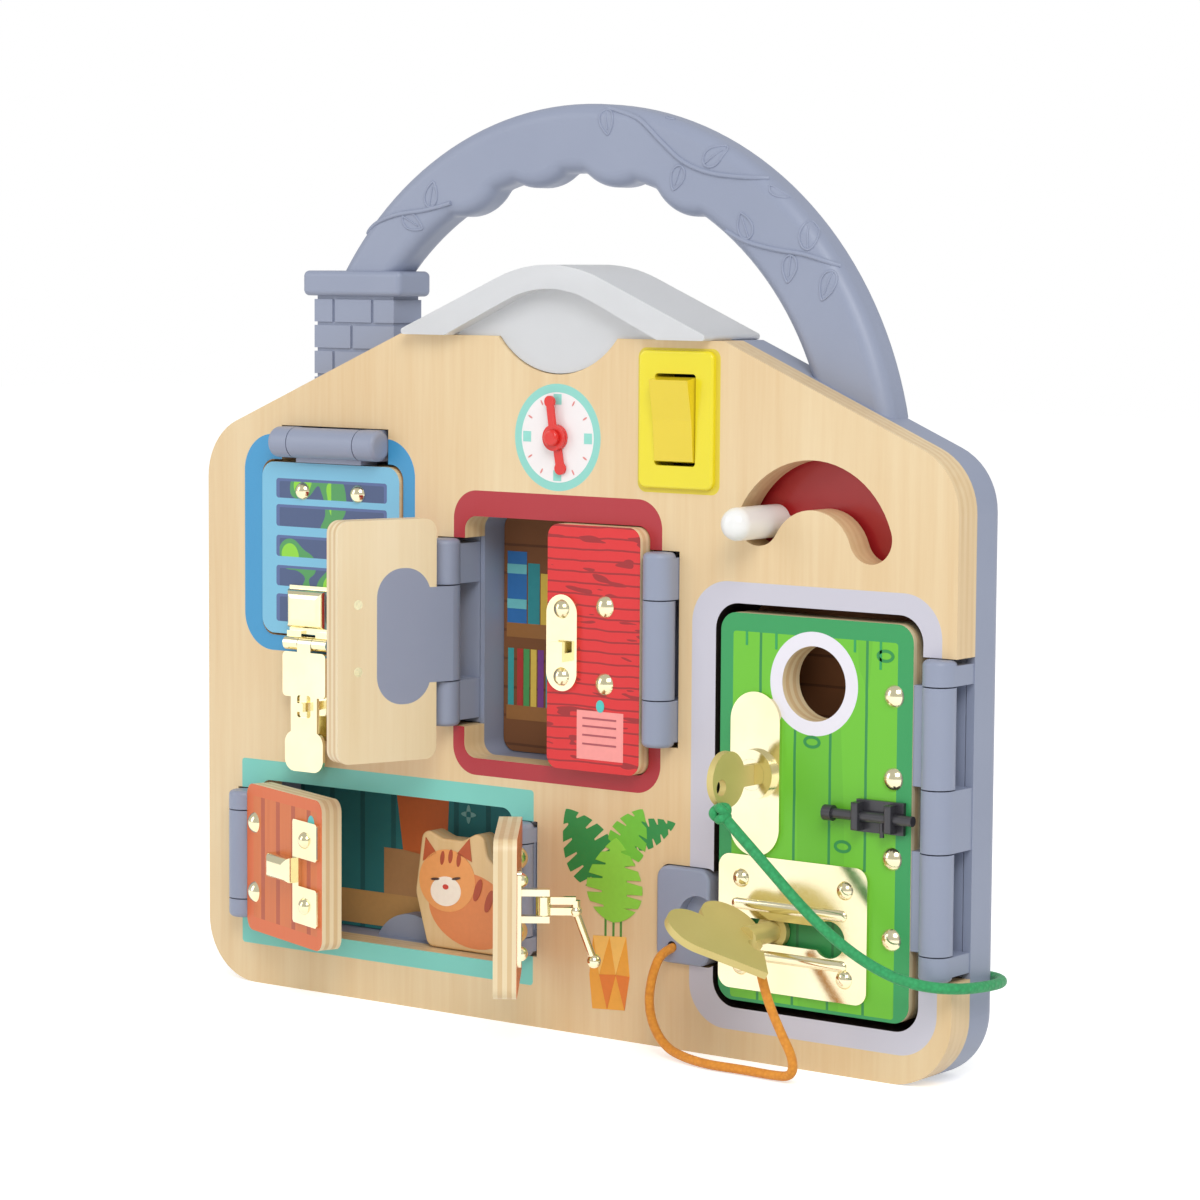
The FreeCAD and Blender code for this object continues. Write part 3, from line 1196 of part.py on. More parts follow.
# Battery box in the housing, with its cells, contacts and screwed door
box_wall = 1.4
cell_clearance = 0.4
door_plate = 2.0
cells_width = cell_length + 5.0
cells_height = cell_pitch + cell_diameter + 2 * cell_clearance
box_left = battery_x - cells_width / 2
box_right = battery_x + cells_width / 2
box_low = battery_z - cells_height / 2
box_high = battery_z + cells_height / 2
battery_inner = box(box_left, box_right, y_joint + part_gap + box_wall, y_back + 1, box_low,
                    box_high)
battery_outer = box(box_left - box_wall, box_right + box_wall, y_joint + part_gap,
                    y_back - housing_wall, box_low - box_wall, box_high + box_wall)
housing = housing.fuse(battery_outer)
cell_y = y_back - door_plate - cell_clearance - cell_diameter / 2
cells = []
contacts = []
for row, nub_side in ((-1, 1), (1, -1)):
    cell_z = battery_z + row * cell_pitch / 2
    start_x = battery_x - cell_length / 2
    nub_length = 1.2
    body_start = start_x + (nub_length if nub_side < 0 else 0)
    cell = rod(point(body_start, cell_y, cell_z), X_AXIS, cell_diameter / 2,
               cell_length - nub_length)
    nub_x = start_x if nub_side < 0 else start_x + cell_length - nub_length
    cell = cell.fuse(rod(point(nub_x, cell_y, cell_z), X_AXIS, 1.9, nub_length)).removeSplitter()
    cells.append(cell)
for contact_x in (box_left, box_right - 0.5):
    contacts.append(box(contact_x, contact_x + 0.5, cell_y - 4.0, cell_y + 4.0, box_low + 2.0,
                        box_high - 2.0))
parts["battery_cells"] = Part.makeCompound(cells)
parts["battery_contacts"] = Part.makeCompound(contacts)
screw_radius = 1.2
door_tab = 9.0
battery_door = slab(rectangle(box_left - box_wall + part_gap, box_right + door_tab,
                              box_low - box_wall + part_gap, box_high + box_wall - part_gap, 2.0),
                    y_back - door_plate, y_back)
door_opening = slab(rectangle(box_left - box_wall, box_right + door_tab + part_gap,
                              box_low - box_wall, box_high + box_wall, 2.0),
                    y_back - door_plate, y_back + 1)
housing = housing.cut(door_opening)
housing = housing.cut(battery_inner)
door_screw_x = box_right + box_wall + 3.4
door_post_radius = 3.0
screw_length = 8.0
screw_head_radius = 2.4
door_post = rod(point(door_screw_x, y_joint, battery_z), Y_AXIS, door_post_radius,
                y_back - door_plate - y_joint)
screw_hole = rod(point(door_screw_x, y_back - screw_length, battery_z), Y_AXIS, screw_radius,
                 screw_length + 1)
housing = housing.fuse(door_post).removeSplitter().cut(screw_hole)
head_pocket = rod(point(door_screw_x, y_back - 1.4, battery_z), Y_AXIS, screw_head_radius, 2.0)
battery_door = battery_door.cut(screw_hole).cut(head_pocket)
parts["battery_door"] = battery_door


def pan_screw(x, z, head_y, length):
    """Screw driven from the back, its slotted head sunk to head_y."""
    shank = rod(point(x, head_y - length, z), Y_AXIS, screw_radius, length)
    head = rod(point(x, head_y - 1.4, z), Y_AXIS, screw_head_radius, 1.4)
    cross = box(x - 1.5, x + 1.5, head_y - 0.7, head_y + 1, z - 0.35, z + 0.35)
    cross = cross.fuse(box(x - 0.35, x + 0.35, head_y - 0.7, head_y + 1, z - 1.5, z + 1.5))
    return shank.fuse(head).cut(cross).removeSplitter()


housing_screws = [pan_screw(door_screw_x, battery_z, y_back, screw_length)]

# Screws that hold the housing to the board, driven through posts from the back
post_spots = [(-130.0, 12.0), (131.5, 9.5), (-134.0, 100.0), (45.0, 12.0), (-50.0, 172.0),
              (130.0, 160.0), (66.0, 196.0)]
post_radius = 3.6
post_screw_sink = 6.0
wood_bite = 7.0
wood_holes = []
for x, z in post_spots:
    post = rod(point(x, y_joint, z), Y_AXIS, post_radius, housing_depth - 0.5)
    housing = housing.fuse(post)
    head_y = y_back - post_screw_sink
    housing = housing.cut(rod(point(x, head_y - 1.4, z), Y_AXIS, screw_head_radius, 20))
    housing = housing.cut(rod(point(x, y_joint - 1, z), Y_AXIS, screw_radius, 20))
    length = head_y - y_joint + wood_bite
    housing_screws.append(pan_screw(x, z, head_y, length))
    wood_holes.append(rod(point(x, y_joint - wood_bite, z), Y_AXIS, screw_radius, wood_bite + 1))
housing = housing.removeSplitter()
parts["housing_screws"] = Part.makeCompound(housing_screws)

# Chimney moulded as bricks, and the handle that springs from it
chimney_y0 = y_joint + 0.6
chimney_y1 = y_back - 0.6
chimney_right = chimney_left + chimney_width
roof_block = slab(house, y_front - 1, y_back + 1)
shaft = box(chimney_left, chimney_right, chimney_y0, chimney_y1, eave_height, chimney_top)
row_pitch = brick_height + mortar_width
row_z = chimney_top - mortar_width
row = 0
while row_z > roof_height(chimney_left) - row_pitch:
    shaft = shaft.cut(box(chimney_left - 1, chimney_right + 1, chimney_y0 - 1,
                          chimney_y0 + mortar_depth, row_z, row_z + mortar_width))
    shaft = shaft.cut(box(chimney_left - 1, chimney_right + 1, chimney_y1 - mortar_depth,
                          chimney_y1 + 1, row_z, row_z + mortar_width))
    for side_x in (chimney_left - 1, chimney_right - mortar_depth):
        shaft = shaft.cut(box(side_x, side_x + 1 + mortar_depth, chimney_y0 - 1, chimney_y1 + 1,
                              row_z, row_z + mortar_width))
    joint_x = chimney_left + (brick_length if row % 2 else brick_length / 2)
    while joint_x < chimney_right - 3:
        for face_y in (chimney_y0 - 1, chimney_y1 - mortar_depth):
            shaft = shaft.cut(box(joint_x, joint_x + mortar_width, face_y,
                                  face_y + 1 + mortar_depth, row_z - brick_height, row_z))
        joint_x += brick_length + mortar_width
    row_z -= row_pitch
    row += 1
cap_block = box(chimney_left - chimney_cap_overhang, chimney_right + chimney_cap_overhang,
                chimney_y0 - 1.8, chimney_y1 + 0.6, chimney_top, chimney_top + chimney_cap_height)
cap_block = cap_block.makeFillet(1.8, cap_block.Edges)
parts["chimney"] = shaft.cut(roof_block).fuse(cap_block).removeSplitter()

handle_y0 = y_joint + (housing_depth - handle_depth) / 2
handle_y1 = handle_y0 + handle_depth


def ring_point(centre_x, radius, angle, y):
    return point(centre_x + radius * math.cos(angle), y, handle_centre_z + radius * math.sin(angle))


handle_disc = rod(point(0, handle_y0, handle_centre_z), Y_AXIS, handle_outer_radius, handle_depth)
handle_hole = rod(point(handle_inner_shift, handle_y0 - 1, handle_centre_z), Y_AXIS,
                  handle_inner_radius, handle_depth + 2)
for i in range(grip_lobes):
    offset = (i - (grip_lobes - 1) / 2) * grip_lobe_pitch
    angle = math.pi / 2 - offset / handle_inner_radius
    centre = ring_point(handle_inner_shift,
                        handle_inner_radius + grip_lobe_radius - grip_lobe_height, angle, handle_y0 - 2)
    handle_hole = handle_hole.cut(rod(centre, Y_AXIS, grip_lobe_radius, handle_depth + 4))
cusps = [e for e in handle_hole.Edges
         if abs(e.Vertexes[0].Y - e.Vertexes[-1].Y) > handle_depth and e.Vertexes[0].Z > handle_centre_z]
handle_hole = handle_hole.makeFillet(grip_cusp_radius, cusps)
handle = handle_disc.cut(handle_hole)
cap_top = chimney_top + chimney_cap_height
handle = handle.cut(box(-handle_outer_radius - 1, 0, handle_y0 - 1, handle_y1 + 1, 0, cap_top))
handle = handle.cut(roof_block)
handle = handle.cut(box(-handle_outer_radius - 1, handle_outer_radius + 5, handle_y0 - 1,
                        handle_y1 + 1, 0, eave_height))
rim_edges = []
for edge in handle.Edges:
    level = abs(edge.Vertexes[0].Y - edge.Vertexes[-1].Y) < 1e-4
    in_face = min(abs(edge.CenterOfMass.y - handle_y0), abs(edge.CenterOfMass.y - handle_y1)) < 1e-3
    if level and in_face and edge.Curve.TypeId == "Part::GeomCircle":
        rim_edges.append(edge)
handle = handle.makeFillet(handle_edge_radius, rim_edges)
parts["handle"] = handle.removeSplitter()

# Wooden pet figure that stands loose in the kennel, before a round grey cushion
pet_x = -58.0
pet_z = kennel_bottom + part_gap
pet_outline = [(pet_x + 3.0, pet_z, 3.0), (pet_x + 36.0, pet_z, 6.0), (pet_x + 39.0, pet_z + 24.0, 8.0),
               (pet_x + 27.0, pet_z + 30.0, 5.0), (pet_x + 25.0, pet_z + 39.0, 3.0),
               (pet_x + 17.0, pet_z + 35.0, 4.0), (pet_x + 9.0, pet_z + 35.0, 4.0),
               (pet_x + 1.0, pet_z + 38.0, 3.0), (pet_x - 2.0, pet_z + 17.0, 7.0)]
pet = slab(pet_outline, pet_front_y, pet_front_y + pet_thickness)
parts["pet_figure"] = soften(pet, pet_front_y, 0.8)
# Final cuts in the board and housing
panel = panel.cut(joined([window_hole, kennel_hole, entry_hole])).cut(lamp_cut).cut(lens_notch)
for notch in notches:
    panel = panel.cut(notch)
for cutter in [arc_slot(y_front - 1, y_joint + 1), switch_hole, clock_pin_hole, dial_axle_hole,
               shutter_pocket, keeper_hole] + wood_holes:
    panel = panel.cut(cutter)
parts["board_panel"] = panel

# Cords: straight runs joined by tangent arcs, as large as the runs allow


def cord_tube(name, places, thickness):
    spots = [point(x, depth(d), z) for x, d, z in places]
    edges = []
    start = spots[0]
    radii = []
    total = 0.0
    for i in range(1, len(spots) - 1):
        before = spots[i] - spots[i - 1]
        after = spots[i + 1] - spots[i]
        turn = before.getAngle(after)
        shorter = min(before.Length, after.Length)
        radius = 0.45 * shorter / math.tan(turn / 2)
        reach = 0.45 * shorter
        into = before.normalize()
        out = after.normalize()
        first = spots[i] - into * reach
        last = spots[i] + out * reach
        inward = (out - into).normalize()
        centre = spots[i] + inward * math.hypot(radius, reach)
        edges.append(Part.LineSegment(start, first).toShape())
        edges.append(Part.Arc(first, centre - inward * radius, last).toShape())
        total += (first - start).Length + radius * turn
        radii.append(round(radius, 1))
        start = last
    edges.append(Part.LineSegment(start, spots[-1]).toShape())
    total += (spots[-1] - start).Length
    wire = Part.Wire(edges)
    heading = (spots[1] - spots[0]).normalize()
    section = Part.Wire([Part.makeCircle(thickness / 2, spots[0], heading)])
    tube = wire.makePipeShell([section], True, False)
    expected = math.pi * thickness ** 2 / 4 * total
    print(name, "radii", radii, "length", round(total, 1),
          "volume ratio", round(tube.Volume / expected, 4))
    return tube


heart_cord_route = [
    (cord_bore_x, 3.0, cord_bore_z), (cord_bore_x, -6.5, cord_bore_z - 0.3), (45.6, -11.0, 25.5),
    (44.8, -12.3, 16.5), (46.3, -11.6, 8.5), (52.0, -12.6, 3.2), (60.5, -15.2, 1.9),
    (70.5, -17.6, 1.6), (82.0, -17.2, 1.7), (93.0, -17.8, 1.6), (100.6, -18.6, 2.2),
    (101.6, -19.4, 7.6), (97.2, -19.2, 14.5), (92.4, -18.0, 21.5), (89.0, -16.6, 27.5),
    (86.6, -15.4, 33.0)]
key_cord_route = [
    (77.6, -22.5, 77.2), (82.0, -22.0, 73.0), (87.6, -21.2, 67.6), (94.4, -20.2, 61.0),
    (101.4, -19.0, 54.0), (108.6, -17.6, 47.4), (116.2, -16.0, 41.6), (124.4, -14.4, 36.8),
    (133.0, -12.6, 33.4), (141.0, -9.4, 31.8), (146.6, -2.6, 31.0), (148.2, 6.4, 30.4),
    (148.0, 15.6, 29.8), (145.4, 24.0, 29.2), (139.0, 29.6, 28.8), (131.4, 30.4, 28.6),
    (127.4, 28.0, 28.4), (126.4, 24.0, 28.4)]
anchor_bore = rod(point(126.4, y_back - 3.0, 28.4), Y_AXIS, key_cord_thickness / 2 + 0.6, 5.0)
housing = housing.cut(anchor_bore)
parts["back_housing"] = housing
parts["heart_cord"] = cord_tube("heart_cord", heart_cord_route, cord_thickness)
parts["key_cord"] = cord_tube("key_cord", key_cord_route, key_cord_thickness)
parts["hinge_pins"] = Part.makeCompound(pins)

os.makedirs("parts", exist_ok=True)
for name, shape in parts.items():
    print(name, len(shape.Solids), round(shape.Volume), shape.isValid())
    shape.exportStep(f"parts/{name}.step")
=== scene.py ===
"""Wooden busy board: a house-shaped plywood board with a grey moulded back and handle.

Sizes in the sections are millimetres unless they end in _m. X runs to the right of
the board, Z up, and the front of the board faces -Y.
"""
import math

import bpy
from mathutils import Matrix, Vector


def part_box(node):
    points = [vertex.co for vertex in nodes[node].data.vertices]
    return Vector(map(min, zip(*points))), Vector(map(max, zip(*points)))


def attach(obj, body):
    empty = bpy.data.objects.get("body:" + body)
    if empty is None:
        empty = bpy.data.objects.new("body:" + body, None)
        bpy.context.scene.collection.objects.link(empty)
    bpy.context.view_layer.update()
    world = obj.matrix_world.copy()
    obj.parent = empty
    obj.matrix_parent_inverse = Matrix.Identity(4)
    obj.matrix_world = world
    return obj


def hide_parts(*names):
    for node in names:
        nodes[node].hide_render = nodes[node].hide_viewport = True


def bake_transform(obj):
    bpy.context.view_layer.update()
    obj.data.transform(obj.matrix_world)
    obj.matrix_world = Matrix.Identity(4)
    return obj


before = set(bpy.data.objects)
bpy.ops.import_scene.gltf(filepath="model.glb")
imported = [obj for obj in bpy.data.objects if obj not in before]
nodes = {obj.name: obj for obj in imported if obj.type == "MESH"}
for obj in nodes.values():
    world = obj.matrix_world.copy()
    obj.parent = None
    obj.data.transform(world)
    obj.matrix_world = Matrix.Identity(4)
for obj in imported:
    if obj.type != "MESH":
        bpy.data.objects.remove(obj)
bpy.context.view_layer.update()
bpy.ops.object.select_all(action="DESELECT")

mm = 0.001

# Camera: a long lens at child's-eye height, in front of the board's right half. Its place and
# its turns were fitted to the board's straight edges and its round openings.
camera_place_m = (0.69267, -0.92354, 0.23862)
focal_length = 113.17
camera_data = bpy.data.cameras.new("camera")
camera_data.lens = focal_length
camera_data.sensor_width = 36
camera_data.clip_end = 50
camera = bpy.data.objects.new("camera", camera_data)
bpy.context.scene.collection.objects.link(camera)
azimuth = math.radians(36.5676)
pitch = math.radians(5.2753)
roll = math.radians(0.37835)
level = Vector((math.cos(azimuth), math.sin(azimuth), 0))
back = Vector((math.sin(azimuth) * math.cos(pitch), -math.cos(azimuth) * math.cos(pitch),
               math.sin(pitch)))
upward = back.cross(level)
right = math.cos(roll) * level + math.sin(roll) * upward
above = math.cos(roll) * upward - math.sin(roll) * level
turn_matrix = Matrix((right, above, back)).transposed().to_4x4()
camera.matrix_world = Matrix.Translation(camera_place_m) @ turn_matrix
bpy.context.scene.camera = camera
bpy.context.scene.view_settings.view_transform = "Standard"


# Cords: braided polyester. The orange one runs from the grey keeper to the brass heart,
# the green one from the back of the housing to the key, where it ends in a knot.
def linear(hex_colour):
    """Linear colour of an sRGB hex value."""
    value = []
    for i in (0, 2, 4):
        channel = int(hex_colour[i:i + 2], 16) / 255
        value.append(channel / 12.92 if channel <= 0.04045
                     else ((channel + 0.055) / 1.055) ** 2.4)
    return (*value, 1.0)


def add_node(tree, kind, settings=None, **inputs):
    """One shader node. An input is a value or a socket, named with _ for a space."""
    node = tree.nodes.new("ShaderNode" + kind)
    for key, value in (settings or {}).items():
        setattr(node, key, value)
    for key, value in inputs.items():
        name = key.replace("_", " ")
        socket = node.inputs[int(name[1:])] if name[1:].isdigit() else node.inputs[name]
        if isinstance(value, bpy.types.NodeSocket):
            tree.links.new(value, socket)
        else:
            socket.default_value = value
    return node


def new_material(name):
    """A material with its shader and output, and the shader itself."""
    material = bpy.data.materials.new(name)
    material.use_nodes = True
    tree = material.node_tree
    tree.nodes.clear()
    shader = add_node(tree, "BsdfPrincipled")
    add_node(tree, "OutputMaterial", Surface=shader.outputs["BSDF"])
    return material, tree, shader


def shade_between(tree, amount, first, second):
    """Colour between two colours or sockets, by an amount from 0 to 1."""
    return add_node(tree, "Mix", {"data_type": "RGBA"}, _0=amount, _6=first,
                    _7=second).outputs[2]


def arithmetic(tree, operation, first, second=0.0, third=0.0):
    """Socket with the result of one Math node."""
    return add_node(tree, "Math", {"operation": operation}, _0=first, _1=second,
                    _2=third).outputs[0]


def braided_cord(name, light_hex, dark_hex):
    # Matt, in small cells about 1 mm across that dip in the middle, their rims darkened with
    # painted shade between the plaits
    material, tree, shader = new_material(name)
    where = add_node(tree, "TexCoord").outputs["Object"]
    plait = add_node(tree, "TexVoronoi", Vector=where, Scale=850.0)
    tone = add_node(tree, "TexNoise", Vector=where, Scale=160.0, Detail=2.0)
    # Painted shade: the colour darkens towards each cell's rim, where the plaits meet
    shade = arithmetic(tree, "MULTIPLY_ADD", plait.outputs["Distance"], 0.6, 0.15)
    mixed = shade_between(tree, shade, linear(light_hex), linear(dark_hex))
    bump = add_node(tree, "Bump", Strength=0.5, Distance=0.0004, Height=plait.outputs["Distance"])
    tree.links.new(mixed, shader.inputs["Base Color"])
    tree.links.new(bump.outputs[0], shader.inputs["Normal"])
    rough = arithmetic(tree, "MULTIPLY_ADD", tone.outputs[0], 0.2, 0.62)
    tree.links.new(rough, shader.inputs["Roughness"])
    shader.inputs["Sheen Weight"].default_value = 0.15
    return material


def cord_spline(name, route, diameter, material):
    """Curve along the route's points, as thick as the cord, both in metres."""
    data = bpy.data.curves.new(name, "CURVE")
    data.dimensions = "3D"
    data.bevel_depth = diameter / 2
    data.bevel_resolution = 6
    data.resolution_u = 12
    data.use_fill_caps = True
    spline = data.splines.new("NURBS")
    spline.points.add(len(route) - 1)
    for spot, place in zip(spline.points, route):
        spot.co = (*place, 1)
    spline.order_u = 3
    spline.use_endpoint_u = True
    data.materials.append(material)
    cord = bpy.data.objects.new(name, data)
    bpy.context.scene.collection.objects.link(cord)
    return cord


def centreline(cord):
    """Points along the middle of the cord, close together, in metres."""
    radius = cord.data.bevel_depth
    cord.data.bevel_depth = 0.0
    line = [tuple(corner.co) for corner in cord.to_mesh().vertices]
    cord.to_mesh_clear()
    cord.data.bevel_depth = radius
    return line


def turn_to_mesh(piece):
    """Makes a mesh of a curve, and leaves it alone selected."""
    bpy.ops.object.select_all(action="DESELECT")
    piece.select_set(True)
    bpy.context.view_layer.objects.active = piece
    bpy.ops.object.convert(target="MESH")


def follow_door(cord):
    """Makes a mesh of the cord, with its place baked into its points."""
    turn_to_mesh(cord)
    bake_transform(cord)


orange_cord = braided_cord("braided polyester cord, orange", "F0A235", "C9761C")
green_cord = braided_cord("braided polyester cord, green", "35B06A", "1C7F46")
heart_cord_diameter_m = 0.0028
key_cord_diameter_m = 0.0032
heart_route_m = [
    (0.0460, -0.0095, 0.0315), (0.0460, -0.0190, 0.0312), (0.0456, -0.0235, 0.0255),
    (0.0448, -0.0248, 0.0165), (0.0463, -0.0241, 0.0085), (0.0520, -0.0251, 0.0032),
    (0.0605, -0.0277, 0.0019), (0.0705, -0.0301, 0.0016), (0.0820, -0.0297, 0.0017),
    (0.0930, -0.0303, 0.0016), (0.1006, -0.0311, 0.0022), (0.1016, -0.0319, 0.0076),
    (0.0972, -0.0317, 0.0145), (0.0924, -0.0305, 0.0215), (0.0890, -0.0291, 0.0275),
    (0.0866, -0.0279, 0.0330)]
heart_cord = cord_spline("heart_cord_braid", heart_route_m, heart_cord_diameter_m,
                         orange_cord)
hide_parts("heart_cord")
heart_cord_line = centreline(heart_cord)
follow_door(heart_cord)
key_route_m = [
    (0.1264, 0.0115, 0.0284), (0.1274, 0.0155, 0.0284), (0.1314, 0.0179, 0.0286),
    (0.1390, 0.0171, 0.0288), (0.1454, 0.0115, 0.0292), (0.1480, 0.0031, 0.0298),
    (0.1482, -0.0061, 0.0304), (0.1466, -0.0151, 0.0310), (0.1410, -0.0219, 0.0318),
    (0.1330, -0.0251, 0.0334), (0.1244, -0.0269, 0.0368), (0.1162, -0.0285, 0.0416),
    (0.1086, -0.0301, 0.0474), (0.1014, -0.0315, 0.0540), (0.0944, -0.0327, 0.0610),
    (0.0876, -0.0337, 0.0676), (0.0820, -0.0345, 0.0730), (0.0776, -0.0350, 0.0772)]
key_cord = cord_spline("key_cord_braid", key_route_m, key_cord_diameter_m, green_cord)
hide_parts("key_cord")
key_cord_line = centreline(key_cord)
follow_door(key_cord)
knot_centre_m = Vector(key_route_m[-1])
knot_sway_m = 0.0016
knot_radius_m = knot_sway_m * 1.1
knot_strand_m = 0.0027
knot_turns = 2
steps_in_turn = 12
knot_route_m = []
for step in range(knot_turns * steps_in_turn + 1):
    angle = step * 2 * math.pi / steps_in_turn
    knot_route_m.append(knot_centre_m + Vector((math.cos(angle) * knot_radius_m,
                                                math.sin(angle * 1.5) * knot_sway_m,
                                                math.sin(angle) * knot_radius_m)))
key_knot = cord_spline("key_cord_knot", knot_route_m, knot_strand_m, green_cord)
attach(key_knot, "entry")


# Plywood: birch plies pressed with the grain crossed, cut by router, sanded and lacquered.
# The board is 10 mm of seven plies, with flat frames of ink round its openings.
def in_rectangle(tree, x, z, place):
    """Socket that is 1 inside a rounded rectangle (left, right, bottom, top, radius)."""
    left, right_side, bottom, top, radius = [value * mm for value in place]
    flat = []
    for socket, low, high in ((x, left, right_side), (z, bottom, top)):
        off_centre = arithmetic(tree, "SUBTRACT", socket, (low + high) / 2)
        outside = arithmetic(tree, "SUBTRACT", arithmetic(tree, "ABSOLUTE", off_centre),
                             (high - low) / 2 - radius)
        flat.append(arithmetic(tree, "MAXIMUM", outside, 0.0))
    corner = add_node(tree, "CombineXYZ", X=flat[0], Y=flat[1], Z=0.0)
    reach = add_node(tree, "VectorMath", {"operation": "LENGTH"}, _0=corner.outputs[0])
    return arithmetic(tree, "LESS_THAN", reach.outputs[1], radius)


def in_disc(tree, x, z, centre_x, centre_z, radius):
    """Socket that is 1 inside a disc."""
    off = add_node(tree, "CombineXYZ", X=arithmetic(tree, "SUBTRACT", x, centre_x * mm),
                   Y=arithmetic(tree, "SUBTRACT", z, centre_z * mm), Z=0.0)
    reach = add_node(tree, "VectorMath", {"operation": "LENGTH"}, _0=off.outputs[0])
    return arithmetic(tree, "LESS_THAN", reach.outputs[1], radius * mm)


def in_band(tree, socket, low, high):
    """Socket that is 1 where the given one lies between low and high, in millimetres."""
    above_low = arithmetic(tree, "GREATER_THAN", socket, low * mm)
    return arithmetic(tree, "MULTIPLY", above_low, arithmetic(tree, "LESS_THAN", socket,
                                                              high * mm))


def birch_ply(name, front, thickness, plies, pivot=None, angle=0.0, pale="EBD6AE",
              deep="D9B582"):
    """Lacquered birch ply. Returns what a print over it needs to read and to change."""
    # Grain that runs up the sheet, and at the edges plies that are face wood and end grain in turn
    material, tree, shader = new_material(name)
    where = add_node(tree, "TexCoord").outputs["Object"]
    if pivot:
        shut = add_node(tree, "VectorRotate", {"rotation_type": "Z_AXIS"}, Vector=where,
                        Center=(pivot[0] * mm, pivot[1] * mm, 0.0), Angle=math.radians(-angle))
        where = shut.outputs[0]
    place = add_node(tree, "SeparateXYZ", Vector=where)
    x, y, z = place.outputs
    along = add_node(tree, "Mapping", Vector=where, Scale=(1.0, 1.0, 0.045)).outputs[0]
    fine = add_node(tree, "TexNoise", Vector=along, Scale=520.0, Detail=5.0, Roughness=0.6)
    broad = add_node(tree, "TexNoise", Vector=along, Scale=60.0, Detail=3.0, Distortion=0.6)
    cloud = add_node(tree, "TexNoise", Vector=where, Scale=9.0, Detail=2.0)
    tone = arithmetic(tree, "MULTIPLY_ADD", fine.outputs[0], 0.35,
                      arithmetic(tree, "MULTIPLY_ADD", broad.outputs[0], 0.45,
                                 arithmetic(tree, "MULTIPLY", cloud.outputs[0], 0.5)))
    tone = add_node(tree, "MapRange", Value=tone, _1=0.4, _2=0.95).outputs[0]
    face = shade_between(tree, tone, linear(pale), linear(deep))
    depth_in = arithmetic(tree, "SUBTRACT", y, front * mm)
    share = add_node(tree, "MapRange", Value=depth_in, _1=0.0, _2=thickness * mm, _3=0.002,
                     _4=0.498 + (plies - 1) / 2).outputs[0]
    crossed = arithmetic(tree, "GREATER_THAN", arithmetic(tree, "FRACT", share), 0.5)
    end_grain = shade_between(tree, fine.outputs[0], linear("E6CDA2"), linear("D6B482"))
    wood = shade_between(tree, crossed, face, end_grain)
    bump = add_node(tree, "Bump", Strength=0.12, Distance=0.0003, Height=fine.outputs[0])
    tree.links.new(wood, shader.inputs["Base Color"])
    tree.links.new(bump.outputs[0], shader.inputs["Normal"])
    gloss = arithmetic(tree, "MULTIPLY_ADD", fine.outputs[0], 0.12, 0.40)
    tree.links.new(gloss, shader.inputs["Roughness"])
    shader.inputs["Coat Weight"].default_value = 0.12
    shader.inputs["Coat Roughness"].default_value = 0.25
    on_face = arithmetic(tree, "LESS_THAN", depth_in, ink_depth * mm)
    return material, tree, shader, (x, y, z), wood, on_face


def print_over(tree, shader, ground, on_face, layers):
    """Lays printed colours over the wood on its front face, each (mask, colour)."""
    colour = ground
    for mask, ink in layers:
        amount = arithmetic(tree, "MULTIPLY", mask, on_face)
        colour = shade_between(tree, amount, colour, ink)
    tree.links.new(colour, shader.inputs["Base Color"])


def paint(node, material):
    """Gives a carried-over piece its material in every slot."""
    slots = nodes[node].data.materials
    if len(slots) == 0:
        slots.append(material)
    for i in range(len(slots)):
        slots[i] = material


ink_depth = 0.06
front = -12.5
clock_x = 0.4
clock_z = 182.4
printed_frames = {"shutter": ((-126.6, -55.4, 109.8, 179.6, 12.0), "3E97C9"),
                  "window": ((-39.8, 39.8, 76.4, 165.0, 9.0), "B02A35"),
                  "kennel": ((-128.0, -8.0, 12.8, 73.6, 1.2), "7ACBBE"),
                  "front door": ((51.0, 137.6, 8.7, 142.3, 13.0), "C9C7D3"),
                  "light switch": ((30.6, 60.4, 167.3, 210.4, 3.0), "DDC936")}
board_ply, tree, shader, (x, y, z), wood, on_face = birch_ply(
    "birch plywood, lacquered, printed", front, 10.0, 7)
# Painted shade: the walls of the front door's opening are near-black, for the dark gap round the
# closed door
shaded_gap = in_rectangle(tree, x, z, (59.3, 131.7, 15.1, 136.3, 8.3))
painted_shade_walls = arithmetic(tree, "MULTIPLY", shaded_gap, arithmetic(tree, "SUBTRACT", 1.0, on_face))
wood = shade_between(tree, painted_shade_walls, wood, linear("151314"))
layers = [(in_rectangle(tree, x, z, place), linear(colour))
          for place, colour in printed_frames.values()]
for radius, colour in ((16.3, "8FD4C8"), (13.7, "F1ECEC")):
    layers.append((in_disc(tree, x, z, clock_x, clock_z, radius), linear(colour)))
print_over(tree, shader, wood, on_face, layers)
paint("board_panel", board_ply)


# Grey mouldings: satin ABS with a fine spark texture, such as the back, the handle and the
# hinges. The trays are the same, but the one behind the front door is painted near-black as the
# shade in its recess.
def moulded_abs(name, hex_colour, dark_hex, roughness=0.42):
    # Grains of the spark texture are about 0.5 mm, with a slow change of tint over the piece
    material, tree, shader = new_material(name)
    where = add_node(tree, "TexCoord").outputs["Object"]
    cloud = add_node(tree, "TexNoise", Vector=where, Scale=22.0, Detail=3.0)
    spark = add_node(tree, "TexNoise", Vector=where, Scale=1900.0, Detail=2.0)
    tint = shade_between(tree, cloud.outputs[0], linear(hex_colour), linear(dark_hex))
    tree.links.new(tint, shader.inputs["Base Color"])
    bump = add_node(tree, "Bump", Strength=0.08, Distance=0.0002, Height=spark.outputs[0])
    tree.links.new(bump.outputs[0], shader.inputs["Normal"])
    rough = arithmetic(tree, "MULTIPLY_ADD", cloud.outputs[0], 0.1, roughness - 0.05)
    tree.links.new(rough, shader.inputs["Roughness"])
    shader.inputs["IOR"].default_value = 1.5
    return material, tree, shader


